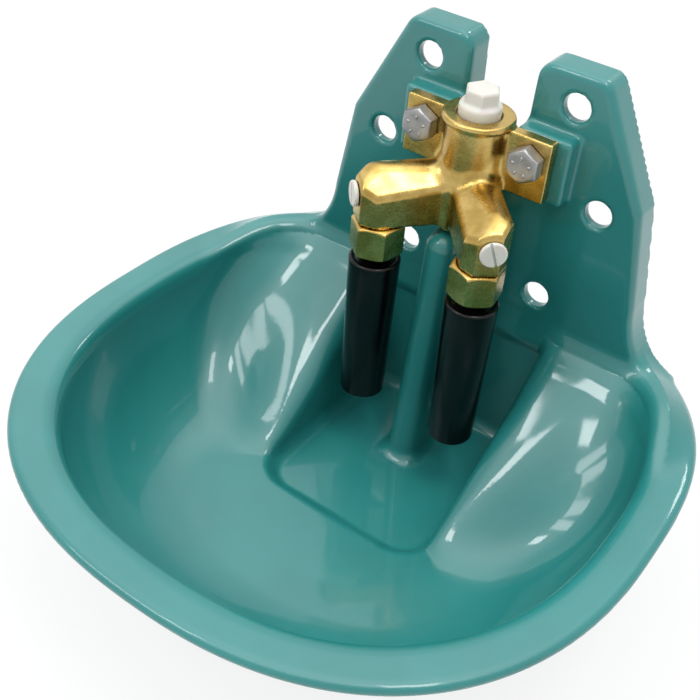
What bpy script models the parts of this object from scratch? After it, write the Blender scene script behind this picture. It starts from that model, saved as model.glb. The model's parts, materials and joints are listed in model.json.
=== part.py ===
"""Double livestock drinker: a wall-hung enamelled bowl with two tube-operated brass valves.

Metres, +Z up. The symmetry plane is x = 0, the wall is y = 0, the bowl reaches towards -Y, and
z = 0 is the middle of the rim's thickness. Right means +X, as seen by someone who faces the wall.
"""

import math

import bmesh
import bpy
from mathutils import Matrix, Vector

# Fits
TOUCH = 0.0003             # gap between pieces that rest on each other
THREAD_GAP = 0.0003        # radial gap between a male and a female thread
SWIVEL_GAP = 0.0003        # radial gap between the swivelling spheres
BOLT_CLEARANCE = 0.0005    # radial gap round a bolt in a plain hole

# Rim of the bowl
RIM_THICKNESS = 0.006
RIM_BAND = 0.015           # width of the flat band
RIM_FILLET = 0.009         # radius from the band down into the dish
RIM_HALF_WIDTH = 0.1574
RIM_MIDDLE_Y = -0.119      # where the rim is widest
RIM_FRONT_REACH = 0.1550   # from the widest place to the front
RIM_BACK_REACH = 0.145     # from the widest place back, cut off at the wall
RIM_FRONT_ROUNDNESS = 2.33
RIM_BACK_ROUNDNESS = 2.8
RIM_EDGE_ROUND = 0.0015
RIM_WALL_SHY = 0.0005      # the rim ends this far inside the plate's back

# Dish
CAST_WALL = 0.006
DISH_FLOOR_Z = -0.0685
DISH_FLOOR_Y = -0.150
DISH_FLOOR_HALF_WIDTH = 0.072
DISH_FLOOR_HALF_DEPTH = 0.042
DISH_BACK_TOP_Z = 0.012    # where the dish meets the face of the back plate
DISH_WALL_ROUNDNESS = 2.1
DISH_SLOPE_ROUNDNESS = 1.0  # a straight slope up to the back plate
DISH_SLOPE_FROM = 0.15     # where the round wall turns into the slope, as shares of the way back
DISH_SLOPE_TO = 0.75
DISH_RINGS = 7
DISH_FILLET_RINGS = 3
FILLET_TURN = 65           # degrees that the fillet turns before the wall begins
DISH_STEPS = 56

# Sump
SUMP_HALF_WIDTH = 0.050
SUMP_FRONT_Y = -0.130
SUMP_FLOOR_Z = -0.075
SUMP_CORNER = 0.018

# Back plate
PLATE_DEPTH = 0.018        # from the wall to the plate's face
PLATE_WALL = 0.007
SKIRT_WALL = 0.006
PLATE_EDGE_ROUND = 0.004
EAR_TOP_Z = 0.151
EAR_OUTER_X = 0.053
EAR_CORNER = 0.009
KINK_X = 0.0825
KINK_Z = 0.093
WAIST_X = 0.091
WAIST_Z = 0.043
FLARE_PULL_X = 0.093
FLARE_PULL_Z = 0.014
SLOT_HALF_WIDTH = 0.0165
SLOT_TOP_HALF_WIDTH = 0.0175
SLOT_BOTTOM_Z = 0.0895

# Fixing holes, as places on one side of the plate
FIXING_HOLE_RADIUS = 0.007
FIXING_HOLES = ((0.040, 0.134), (0.062, 0.086), (0.040, 0.028))

# Pads that carry the valve
PAD_RISE = 0.004
PAD_OUTER_X = 0.046
PAD_TOP_Z = 0.117
PAD_BOTTOM_Z = 0.082
PAD_ROUND = 0.002

# Ridge between the tubes
RIDGE_HALF_WIDTH = 0.009
RIDGE_TOP_Z = 0.0645
RIDGE_TOP_Y = -0.058
RIDGE_FOOT_Y = -0.070
RIDGE_ROUND = 0.007

# Valve body
HUB_Y = -0.034
HUB_RADIUS = 0.0155
HUB_TOP_Z = 0.124
HUB_BOTTOM_Z = 0.069
BEAD_RADIUS = 0.0166
BEAD_HEIGHT = 0.003
INLET_THREAD_RADIUS = 0.0105
INLET_THREAD_DEPTH = 0.0175
WATERWAY_RADIUS = 0.0062
WATERWAY_BOTTOM_Z = 0.076
LUG_INNER_X = 0.008
LUG_OUTER_X = 0.0395
LUG_TOP_Z = 0.121
LUG_BOTTOM_Z = 0.090
LUG_THICKNESS = 0.0121
ARM_ANGLE = math.radians(40.6)
ARM_REACH = 0.0441         # from the hub's axis to the tube's axis
ARM_INNER_WIDTH = 0.0101   # from the arm's middle to its side towards the other arm
ARM_OUTER_WIDTH = 0.0122
ARM_END_REACH = 0.0115     # from the tube's axis to the arm's end
ARM_END_INNER = 0.0052     # from the arm's middle to the corners of its end
ARM_END_OUTER = 0.0068
ARM_INNER_CORNER = 0.0049  # past the tube's axis, where the end is cut off on its inner side
ARM_OUTER_CORNER = 0.0029
ARM_OUTER_BULGE = 0.0006   # how far the outer corner stands out from the side
ARM_HEEL = 0.0081          # short of the tube's axis, where the outer side starts to stand out
ARM_TOP_Z = 0.0964
ARM_NOSE_START = 0.0024    # past the tube's axis
ARM_NOSE_FALL = 0.60
ARM_INNER_EAVE_Z = 0.0900  # height of the inner side beside the hub
ARM_INNER_RISE = 0.75      # of the roof, from the inner side towards the middle
ARM_INNER_FALL = 0.12      # of the inner roof, along the arm
ARM_OUTER_EDGE = 0.0085    # from the middle to where the outer roof starts
ARM_OUTER_FALL = 0.62
SPIGOT_RADIUS = 0.0100
CHAMBER_RADIUS = 0.0065
CHAMBER_TOP_Z = 0.0862
PORT_RADIUS = 0.003
PORT_Z = 0.0815

# Lug bolts, M10
BOLT_RADIUS = 0.005
BOLT_X = 0.029
BOLT_Z = 0.1094
BOLT_HEAD_FLATS = 0.017
BOLT_HEAD_HEIGHT = 0.0064
BOLT_TIP_SHORT = 0.001     # how far the tip ends short of the plate's back

# Inlet plug and strainer
PLUG_ROUND_TOP = 0.0075    # above the hub's top
PLUG_HEAD_FLATS = 0.0155
PLUG_HEAD_HEIGHT = 0.0075
PLUG_THREAD_LENGTH = 0.0145
STRAINER_CUP_RADIUS = 0.0052
STRAINER_CUP_LENGTH = 0.014
STRAINER_WALL = 0.0010
STRAINER_FLANGE_HEIGHT = 0.0012
STRAINER_SLOTS = 6
STRAINER_SLOT_WIDTH = 0.0012
STRAINER_SLOT_LENGTH = 0.008
STRAINER_SLOT_DROP = 0.003  # from the flange down to a slot's top

# Union nut
NUT_FLATS = 0.024
NUT_TOP_Z = 0.0685
NUT_BOTTOM_Z = 0.051
NUT_CHAMFER = 0.0012
NUT_THROAT_DROP = 0.006    # below the pivot
NUT_MOUTH_RADIUS = 0.0094

# Swivel and tube
PIVOT_Z = 0.059
HEAD_RADIUS = 0.0083
HEAD_FLAT_RISE = 0.005     # above the pivot
RING_WALL = 0.0014
RING_HALF_HEIGHT = 0.003
NECK_RADIUS = 0.006
TUBE_TOP_Z = 0.047
TUBE_TOP_RADIUS = 0.0133
TUBE_BOTTOM_Z = -0.0395
TUBE_BOTTOM_RADIUS = 0.012
TUBE_WALL = 0.0035
TUBE_LIP = 0.0012
TUBE_DISH_DEPTH = 0.0014
HEAD_BORE_RADIUS = 0.0035

# Valve inside each arm
SPIGOT_RISE = 0.0055       # spigot's mouth above the pivot
SEAT_BOTTOM_Z = 0.069
SEAT_HEIGHT = 0.002
SEAT_BORE_RADIUS = 0.0032
STEM_RADIUS = 0.0015
STEM_FOOT_RADIUS = 0.0035
STEM_FOOT_HEIGHT = 0.0012
STEM_FOOT_GAP = 0.00105    # room for the tube's head to tip under the foot
STEM_COLLAR_RADIUS = 0.0035
STEM_COLLAR_HEIGHT = 0.0012
DISC_RADIUS = 0.0052
DISC_HEIGHT = 0.002
SPRING_WIRE = 0.001
SPRING_RADIUS = 0.0038
SPRING_TURNS = 5
SPRING_END_PITCH = 0.0015  # pitch of the turn at each end

# Throttle screw and its seal
THROTTLE_Z = 0.0825
THROTTLE_ACROSS = 0.0026   # from the arm's middle towards its outer side
THROTTLE_HEAD_RADIUS = 0.0065
THROTTLE_HEAD_HEIGHT = 0.0023
THROTTLE_HEAD_ROUND = 0.0006
THROTTLE_SHANK_RADIUS = 0.0032
THROTTLE_TIP_SHORT = 0.0006
THROTTLE_SLOT_WIDTH = 0.0016
THROTTLE_SLOT_DEPTH = 0.0013
SEAL_SECTION = 0.0007
SEAL_RADIUS = 0.0046
SEAL_GROOVE_DEPTH = 0.0017

# Facets of the round pieces
ROUND_STEPS = 24
SMALL_STEPS = 16
BEVEL_STEPS = 2
CUT_OVER = 0.002           # how far a cutter runs past what it cuts

RIM_TOP_Z = RIM_THICKNESS / 2
PLATE_FACE_Y = -PLATE_DEPTH
PLATE_BACK_Y = PLATE_FACE_Y + PLATE_WALL
PAD_FACE_Y = PLATE_FACE_Y - PAD_RISE
LUG_BACK_Y = PAD_FACE_Y - TOUCH
LUG_FACE_Y = LUG_BACK_Y - LUG_THICKNESS
ARM_END = ARM_REACH + ARM_END_REACH
HEX_CORNER = 1 / math.cos(math.pi / 6)
RING_INNER = HEAD_RADIUS + SWIVEL_GAP
RING_OUTER = RING_INNER + RING_WALL
NUT_BORE = max(RING_OUTER + SWIVEL_GAP, SPIGOT_RADIUS + THREAD_GAP)
SPIGOT_BOTTOM_Z = PIVOT_Z + SPIGOT_RISE
INLET_FLOOR_Z = HUB_TOP_Z - INLET_THREAD_DEPTH

MATERIALS = {
    "enamel": ((0.062, 0.262, 0.248), 0.16, 0.0),
    "brass": ((0.50, 0.33, 0.11), 0.34, 1.0),
    "zinc": ((0.45, 0.45, 0.44), 0.42, 1.0),
    "white_plastic": ((0.80, 0.80, 0.76), 0.40, 0.0),
    "black_plastic": ((0.010, 0.011, 0.012), 0.35, 0.0),
    "stainless": ((0.56, 0.56, 0.55), 0.30, 1.0),
    "rubber": ((0.018, 0.018, 0.018), 0.75, 0.0),
}


def clear_scene():
    for obj in list(bpy.data.objects):
        bpy.data.objects.remove(obj, do_unlink=True)


def new_collection(name):
    group = bpy.data.collections.new(name)
    bpy.context.scene.collection.children.link(group)
    return group


def new_material(name, finish):
    colour, roughness, metallic = MATERIALS[finish]
    material = bpy.data.materials.new(name)
    material.use_nodes = True
    shader = material.node_tree.nodes["Principled BSDF"]
    shader.inputs["Base Color"].default_value = (*colour, 1.0)
    shader.inputs["Roughness"].default_value = roughness
    shader.inputs["Metallic"].default_value = metallic
    return material


def link_object(name, data):
    """Make an object of a mesh or a curve, in the scene's own collection until it is sorted."""
    obj = bpy.data.objects.new(name, data)
    bpy.context.scene.collection.objects.link(obj)
    return obj


def move_to(obj, group):
    for holder in list(obj.users_collection):
        holder.objects.unlink(obj)
    group.objects.link(obj)


def finish_part(obj, finish, group, smooth_angle=35):
    """Give a finished piece its own material, smooth shading and its collection."""
    obj.data.materials.clear()
    obj.data.materials.append(new_material(obj.name, finish))
    obj.data.shade_smooth()
    obj.data.set_sharp_from_angle(angle=math.radians(smooth_angle))
    move_to(obj, group)
    return obj


def boolean(target, tool, operation, cutters):
    """Join, cut or intersect target with tool, which becomes a construction piece."""
    step = target.modifiers.new(tool.name, "BOOLEAN")
    step.operation = operation
    step.solver = "EXACT"
    step.object = tool
    tool.hide_render = True
    tool.display_type = "WIRE"
    move_to(tool, cutters)


def box(name, low, high):
    mesh = bpy.data.meshes.new(name)
    shape = bmesh.new()
    bmesh.ops.create_cube(shape, size=1.0)
    size = [b - a for a, b in zip(low, high)]
    middle = [(a + b) / 2 for a, b in zip(low, high)]
    bmesh.ops.scale(shape, vec=size, verts=shape.verts)
    bmesh.ops.translate(shape, vec=middle, verts=shape.verts)
    shape.to_mesh(mesh)
    shape.free()
    return link_object(name, mesh)


def cylinder(name, radius, low, high, place=None, steps=ROUND_STEPS):
    """A cylinder along the local Z of place, from low to high; six steps make a hexagon."""
    mesh = bpy.data.meshes.new(name)
    shape = bmesh.new()
    bmesh.ops.create_cone(
        shape, cap_ends=True, segments=steps, radius1=radius, radius2=radius, depth=high - low
    )
    bmesh.ops.translate(shape, vec=(0, 0, (low + high) / 2), verts=shape.verts)
    shape.to_mesh(mesh)
    shape.free()
    if place is not None:
        mesh.transform(place)
    return link_object(name, mesh)


def turned(name, profile, closed=False, steps=ROUND_STEPS):
    """Turn a profile of (radius, height) about local Z; it runs down its outer side."""
    mesh = bpy.data.meshes.new(name)
    edges = [(i, i + 1) for i in range(len(profile) - 1)]
    if closed:
        edges.append((len(profile) - 1, 0))
    mesh.from_pydata([(radius, 0.0, height) for radius, height in profile], edges, [])
    obj = link_object(name, mesh)
    turn = obj.modifiers.new("turn", "SCREW")
    turn.axis = "Z"
    turn.steps = steps
    turn.render_steps = steps
    turn.use_merge_vertices = True
    turn.merge_threshold = 0.00001
    return obj


def curve_to_mesh(obj, weld=0.00001):
    """Swap a curve object for a mesh object of its evaluated shape, with its caps welded."""
    depsgraph = bpy.context.evaluated_depsgraph_get()
    mesh = bpy.data.meshes.new_from_object(obj.evaluated_get(depsgraph))
    shape = bmesh.new()
    shape.from_mesh(mesh)
    bmesh.ops.remove_doubles(shape, verts=shape.verts, dist=weld)
    bmesh.ops.recalc_face_normals(shape, faces=shape.faces)
    shape.to_mesh(mesh)
    shape.free()
    name = obj.name
    place = obj.matrix_world.copy()
    bpy.data.objects.remove(obj, do_unlink=True)
    made = link_object(name, mesh)
    made.matrix_world = place
    return made


def prism(name, outline, low, high, axes):
    """Extrude a flat outline along the third of three axes, from low to high."""
    curve = bpy.data.curves.new(name, "CURVE")
    curve.dimensions = "2D"
    curve.fill_mode = "BOTH"
    curve.extrude = (high - low) / 2
    spline = curve.splines.new("POLY")
    spline.points.add(len(outline) - 1)
    for point, (u, v) in zip(spline.points, outline):
        point.co = (u, v, 0.0, 1.0)
    spline.use_cyclic_u = True
    obj = curve_to_mesh(link_object(name, curve))
    turn = Matrix(axes).transposed().to_4x4()
    obj.data.transform(turn @ Matrix.Translation((0, 0, (low + high) / 2)))
    return obj


ALONG_Y = ((1, 0, 0), (0, 0, 1), (0, -1, 0))
ALONG_X = ((0, 1, 0), (0, 0, 1), (1, 0, 0))
ALONG_Z = ((1, 0, 0), (0, 1, 0), (0, 0, 1))


def bevel_edges(obj, width, chosen, steps=BEVEL_STEPS):
    """Round the edges of a mesh for which chosen(edge) is true."""
    shape = bmesh.new()
    shape.from_mesh(obj.data)
    bmesh.ops.dissolve_limit(shape, angle_limit=math.radians(0.5), verts=shape.verts, edges=shape.edges)
    edges = [edge for edge in shape.edges if chosen(edge)]
    bmesh.ops.bevel(
        shape, geom=edges, offset=width, segments=steps, profile=0.5, affect="EDGES", clamp_overlap=True
    )
    shape.to_mesh(obj.data)
    shape.free()


def arc(centre, radius, start, end, steps):
    """Points on an arc, angles in degrees, both ends included."""
    points = []
    for i in range(steps + 1):
        angle = math.radians(start + (end - start) * i / steps)
        points.append((centre[0] + radius * math.cos(angle), centre[1] + radius * math.sin(angle)))
    return points


def round_corner(before, corner, after, radius, steps=4):
    """Points of an arc that rounds a corner between two straight runs."""
    corner = Vector(corner)
    back = (Vector(before) - corner).normalized()
    on = (Vector(after) - corner).normalized()
    half = back.angle(on) / 2
    reach = radius / math.tan(half)
    centre = corner + (back + on).normalized() * radius / math.sin(half)
    first = (corner + back * reach - centre).normalized()
    last = (corner + on * reach - centre).normalized()
    return [tuple(centre + first.slerp(last, i / steps) * radius) for i in range(steps + 1)]


def mirrored(half):
    """A whole outline from its +X half, which starts and ends on the symmetry line or beside it."""
    other = [(-x, v) for x, v in reversed(half) if x > 1e-6]
    return half + other


def gap_to_edge(point, start, end):
    """Distance from a point to a straight edge."""
    run = end - start
    share = min(1.0, max(0.0, (point - start).dot(run) / run.length_squared))
    return (point - start - run * share).length


def inset_outline(points, distance):
    """Shift a closed outline, listed anticlockwise, inwards; what crosses over itself is dropped."""
    corners = [Vector(point) for point in points]
    edges = list(zip(corners, corners[1:] + corners[:1]))
    moved = []
    for i, (here, after) in enumerate(edges):
        into = (here - corners[i - 1]).normalized()
        onward = (after - here).normalized()
        normal_in = Vector((-into.y, into.x))
        normal_on = Vector((-onward.y, onward.x))
        bisector = (normal_in + normal_on).normalized()
        point = here + bisector * distance / bisector.dot(normal_in)
        if min(gap_to_edge(point, *edge) for edge in edges) > 0.98 * distance:
            moved.append(tuple(point))
    return moved


def rim_point(angle, inset=0.0):
    """A point of the rim's outline; angle runs from the front towards +X, and inset is inwards."""
    across = math.sin(angle)
    forward = math.cos(angle)
    if forward >= 0:
        reach, power = RIM_FRONT_REACH - inset, RIM_FRONT_ROUNDNESS
    else:
        reach, power = RIM_BACK_REACH - inset, RIM_BACK_ROUNDNESS
    half_width = RIM_HALF_WIDTH - inset
    size = (abs(across) / half_width) ** power + (abs(forward) / reach) ** power
    radius = size ** (-1 / power)
    return Vector((across * radius, RIM_MIDDLE_Y - forward * radius))


def rim_half_width_at_wall():
    """Half the rim's width where the wall cuts its outline."""
    share = 1 - (-RIM_MIDDLE_Y / RIM_BACK_REACH) ** RIM_BACK_ROUNDNESS
    return RIM_HALF_WIDTH * share ** (1 / RIM_BACK_ROUNDNESS)


def smooth_share(value, low, high):
    share = min(1.0, max(0.0, (value - low) / (high - low)))
    return share * share * (3 - 2 * share)


def cut_at(point, limit):
    """Pull a point towards the middle of the rim until its y is at most limit."""
    if point.y <= limit:
        return point
    middle = Vector((0.0, RIM_MIDDLE_Y))
    return middle + (point - middle) * (limit - middle.y) / (point.y - middle.y)


def dish_ring(outset, inset, turn, sink):
    """One ring of the dish's inner face, moved outwards into the wall by outset.

    inset is the ring's way in from the rim's outline and sink its fall below the rim's band.
    turn runs from 0 where the wall begins to a right angle at the floor.
    """
    back_y = PLATE_FACE_Y + PLATE_WALL / 2
    ring = []
    for i in range(DISH_STEPS):
        angle = 2 * math.pi * i / DISH_STEPS
        edge = cut_at(rim_point(angle, inset - outset), back_y - inset + RIM_BAND)
        rise = smooth_share(edge.y, back_y - 2 * (RIM_BAND + RIM_FILLET), back_y - RIM_FILLET)
        top = RIM_TOP_Z + (DISH_BACK_TOP_Z - RIM_TOP_Z) * rise - sink - outset
        floor = Vector((
            (DISH_FLOOR_HALF_WIDTH + outset) * math.sin(angle),
            DISH_FLOOR_Y - (DISH_FLOOR_HALF_DEPTH + outset) * math.cos(angle),
        ))
        behind = smooth_share(-math.cos(angle), DISH_SLOPE_FROM, DISH_SLOPE_TO)
        roundness = DISH_WALL_ROUNDNESS + (DISH_SLOPE_ROUNDNESS - DISH_WALL_ROUNDNESS) * behind
        spread = max(0.0, math.cos(turn)) ** (2 / roundness)
        drop = math.sin(turn) ** (2 / roundness)
        place = floor + (edge - floor) * spread
        ring.append((place.x, place.y, top + (DISH_FLOOR_Z - outset - top) * drop))
    return ring


def dish_rings(outset):
    """Rings of the dish's inner face, top first: the band's inner edge, its fillet, the wall."""
    rings = []
    for k in range(DISH_FILLET_RINGS + 1):
        turn = math.radians(FILLET_TURN) * k / DISH_FILLET_RINGS
        inset = RIM_BAND + RIM_FILLET * math.sin(turn)
        sink = RIM_FILLET * (1 - math.cos(turn))
        rings.append(dish_ring(outset, inset, 0.0, sink))
    for k in range(1, DISH_RINGS + 1):
        rings.append(dish_ring(outset, inset, math.pi / 2 * k / DISH_RINGS, sink))
    return rings


def loft(name, rings, cap_first, cap_last):
    """Skin a stack of rings that have as many points each."""
    mesh = bpy.data.meshes.new(name)
    shape = bmesh.new()
    rows = [[shape.verts.new(point) for point in ring] for ring in rings]
    count = len(rows[0])
    for upper, lower in zip(rows, rows[1:]):
        for i in range(count):
            j = (i + 1) % count
            shape.faces.new((upper[i], upper[j], lower[j], lower[i]))
    if cap_first:
        shape.faces.new(rows[0])
    if cap_last:
        shape.faces.new(list(reversed(rows[-1])))
    bmesh.ops.recalc_face_normals(shape, faces=shape.faces)
    shape.to_mesh(mesh)
    shape.free()
    return link_object(name, mesh)


def rim_ring(inset, height):
    """One ring along the rim's outer edge, kept just clear of the wall."""
    ring = []
    for i in range(DISH_STEPS):
        edge = cut_at(rim_point(2 * math.pi * i / DISH_STEPS, inset), -RIM_WALL_SHY)
        ring.append((edge.x, edge.y, height))
    return ring


def dish_shell():
    """The rim and the dish: up the water side from the floor, over the rim, and down outside."""
    rounding = RIM_EDGE_ROUND
    rim = [
        rim_ring(rounding, RIM_TOP_Z), rim_ring(0, RIM_TOP_Z - rounding),
        rim_ring(0, rounding - RIM_TOP_Z), rim_ring(rounding, -RIM_TOP_Z),
    ]
    rings = list(reversed(dish_rings(0.0))) + rim + dish_rings(CAST_WALL)
    return loft("dish_shell", rings, True, True)


def dish_space():
    """The space over the dish, grown into half its wall: it trims what must not stand in the dish."""
    rings = dish_rings(CAST_WALL / 2)
    lid_z = EAR_TOP_Z
    lid = [(x, y, lid_z) for x, y, z in rings[0]]
    return loft("dish_space", [lid] + rings, True, True)


def plate_outline():
    """The plate's outline with its U-shaped slot and its flares, anticlockwise from the foot."""
    foot_x = rim_half_width_at_wall()
    foot = (foot_x, RIM_TOP_Z)
    waist = (WAIST_X, WAIST_Z)
    pull = (FLARE_PULL_X, FLARE_PULL_Z)
    half = [(foot_x, -RIM_TOP_Z)]
    flare_steps = 6
    for i in range(flare_steps + 1):
        t = i / flare_steps
        point = [(1 - t) ** 2 * a + 2 * t * (1 - t) * b + t * t * c for a, b, c in zip(foot, pull, waist)]
        half.append(tuple(point))
    half.append((KINK_X, KINK_Z))
    outer_top = (EAR_OUTER_X, EAR_TOP_Z)
    inner_top = (SLOT_TOP_HALF_WIDTH, EAR_TOP_Z)
    slot_side = (SLOT_HALF_WIDTH, SLOT_BOTTOM_Z + SLOT_HALF_WIDTH)
    half += round_corner((KINK_X, KINK_Z), outer_top, inner_top, EAR_CORNER)
    half += round_corner(outer_top, inner_top, slot_side, EAR_CORNER)
    half += arc((0.0, SLOT_BOTTOM_Z + SLOT_HALF_WIDTH), SLOT_HALF_WIDTH, 0, -90, 6)
    return mirrored(half)


def back_plate(cutters):
    """The upright plate with its skirt, hollow at the back."""
    outline = plate_outline()
    plate = prism("back_plate", outline, 0.0, PLATE_DEPTH, ALONG_Y)
    face = PLATE_FACE_Y

    def on_face(edge):
        above_foot = max(v.co.z for v in edge.verts) > RIM_TOP_Z + 1e-4
        return above_foot and all(abs(v.co.y - face) < 1e-5 for v in edge.verts)

    bevel_edges(plate, PLATE_EDGE_ROUND, on_face)
    pan = prism("pan", inset_outline(outline, SKIRT_WALL), -CUT_OVER, -PLATE_BACK_Y, ALONG_Y)
    boolean(plate, pan, "DIFFERENCE", cutters)
    return plate


def rounded_rectangle(half_width, front, back, corner, steps=5):
    """An outline in plan: round corners at the front, square ones at the back, anticlockwise."""
    points = [(half_width, back), (-half_width, back)]
    points += arc((-half_width + corner, front + corner), corner, 180, 270, steps)
    points += arc((half_width - corner, front + corner), corner, 270, 360, steps)
    return points


def sump_block(cutters):
    wall = CAST_WALL
    outline = rounded_rectangle(
        SUMP_HALF_WIDTH + wall, SUMP_FRONT_Y - wall, PLATE_FACE_Y + wall, SUMP_CORNER + wall
    )
    block = prism("sump_block", outline, SUMP_FLOOR_Z - wall, DISH_BACK_TOP_Z - CAST_WALL / 3, ALONG_Z)
    boolean(block, dish_space(), "DIFFERENCE", cutters)
    return block


def sump_hollow():
    film = 0.0002
    outline = rounded_rectangle(SUMP_HALF_WIDTH, SUMP_FRONT_Y, PLATE_FACE_Y - film, SUMP_CORNER)
    return prism("sump_hollow", outline, SUMP_FLOOR_Z, DISH_BACK_TOP_Z + PLATE_DEPTH, ALONG_Z)


def centre_ridge():
    back = PLATE_FACE_Y + CAST_WALL / 2
    bottom = SUMP_FLOOR_Z - CAST_WALL / 2
    side = [(back, bottom), (back, RIDGE_TOP_Z), (RIDGE_TOP_Y, RIDGE_TOP_Z), (RIDGE_FOOT_Y, bottom)]
    ridge = prism("centre_ridge", side, -RIDGE_HALF_WIDTH, RIDGE_HALF_WIDTH, ALONG_X)

    def shows(edge):
        at_back = all(abs(v.co.y - back) < 1e-5 for v in edge.verts)
        at_bottom = all(abs(v.co.z - bottom) < 1e-5 for v in edge.verts)
        return not at_back and not at_bottom

    bevel_edges(ridge, RIDGE_ROUND, shows, 3)
    return ridge


def valve_pad(side):
    inner, outer = sorted((side * (SLOT_HALF_WIDTH + PAD_ROUND / 2), side * PAD_OUTER_X))
    pad = box("pad", (inner, PAD_FACE_Y, PAD_BOTTOM_Z), (outer, PLATE_BACK_Y - CUT_OVER, PAD_TOP_Z))

    def on_face(edge):
        return any(abs(v.co.y - PAD_FACE_Y) < 1e-5 for v in edge.verts)

    bevel_edges(pad, PAD_ROUND, on_face, 1)
    return pad


def bolt_axis(side):
    """Local Z runs from the wall outwards through a lug bolt."""
    turn = Matrix(((1, 0, 0), (0, 0, -1), (0, 1, 0))).to_4x4()
    return Matrix.Translation((side * BOLT_X, 0, BOLT_Z)) @ turn


def make_bowl(parts, cutters):
    bowl = back_plate(cutters)
    bowl.name = "bowl"
    boolean(bowl, dish_shell(), "UNION", cutters)
    boolean(bowl, sump_block(cutters), "UNION", cutters)
    boolean(bowl, sump_hollow(), "DIFFERENCE", cutters)
    boolean(bowl, centre_ridge(), "UNION", cutters)
    for side in (-1, 1):
        boolean(bowl, valve_pad(side), "UNION", cutters)
    for side in (-1, 1):
        for x, z in FIXING_HOLES:
            turn = Matrix.Rotation(math.pi / 2, 4, "X")
            place = Matrix.Translation((side * x, 0, z)) @ turn
            hole = cylinder("fixing_hole", FIXING_HOLE_RADIUS, -CUT_OVER, PLATE_DEPTH + CUT_OVER, place)
            boolean(bowl, hole, "DIFFERENCE", cutters)
        tapped = cylinder(
            "tapped_hole", BOLT_RADIUS + THREAD_GAP, -PLATE_BACK_Y - CUT_OVER, -PAD_FACE_Y + CUT_OVER,
            bolt_axis(side), SMALL_STEPS,
        )
        boolean(bowl, tapped, "DIFFERENCE", cutters)
    return finish_part(bowl, "enamel", parts)


def arm_frame(side):
    """Local X runs out along an arm from the hub's axis, local Y across it, local Z up."""
    along = Vector((side * math.sin(ARM_ANGLE), -math.cos(ARM_ANGLE), 0))
    across = Vector((0, 0, 1)).cross(along)
    turn = Matrix((along, across, (0, 0, 1))).transposed().to_4x4()
    return Matrix.Translation((0, HUB_Y, 0)) @ turn


def tube_axis(side):
    """Foot of a tube's axis, at z = 0."""
    return arm_frame(side) @ Vector((ARM_REACH, 0, 0))


def throttle_frame(side):
    """Origin where the screw's axis leaves the end of the arm, local Z out along the arm."""
    turn = Matrix(((0, 0, 1), (0, 1, 0), (-1, 0, 0))).to_4x4()
    return arm_frame(side) @ Matrix.Translation((ARM_END, side * THROTTLE_ACROSS, THROTTLE_Z)) @ turn


def cut_roof(obj, name, point, along, across, cutters):
    """Take off what lies above a plane through a point; along and across are its rises on local X and Y."""
    reach = 2 * ARM_END
    slab = box(name, (-reach, -reach, 0), (reach, reach, reach))
    lean = Vector((-along, -across, 1)).to_track_quat("Z", "Y").to_matrix().to_4x4()
    slab.data.transform(Matrix.Translation(point) @ lean)
    boolean(obj, slab, "DIFFERENCE", cutters)


def arm_blank(side, cutters):
    """One arm in its own frame: a flat-sided bar with a roof of four planes, then put in its place."""
    outline = [
        (0, -ARM_INNER_WIDTH), (ARM_REACH + ARM_INNER_CORNER, -ARM_INNER_WIDTH),
        (ARM_END, -ARM_END_INNER), (ARM_END, ARM_END_OUTER),
        (ARM_REACH + ARM_OUTER_CORNER, ARM_OUTER_WIDTH + ARM_OUTER_BULGE),
        (ARM_REACH - ARM_HEEL, ARM_OUTER_WIDTH), (0, ARM_OUTER_WIDTH),
    ]
    outline = [(s, side * t) for s, t in outline[::side]]
    arm = prism("arm", outline, HUB_BOTTOM_Z, ARM_TOP_Z, ALONG_Z)
    nose = (ARM_REACH + ARM_NOSE_START, 0, ARM_TOP_Z)
    cut_roof(arm, "arm_nose", nose, -ARM_NOSE_FALL, 0, cutters)
    eave = (HUB_RADIUS, -side * ARM_INNER_WIDTH, ARM_INNER_EAVE_Z)
    cut_roof(arm, "arm_inner_roof", eave, -ARM_INNER_FALL, side * ARM_INNER_RISE, cutters)
    edge = (0, side * ARM_OUTER_EDGE, ARM_TOP_Z)
    cut_roof(arm, "arm_outer_roof", edge, 0, -side * ARM_OUTER_FALL, cutters)
    place = arm_frame(side)
    for obj in [arm] + [step.object for step in arm.modifiers]:
        obj.data.transform(place)
    return arm


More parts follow.
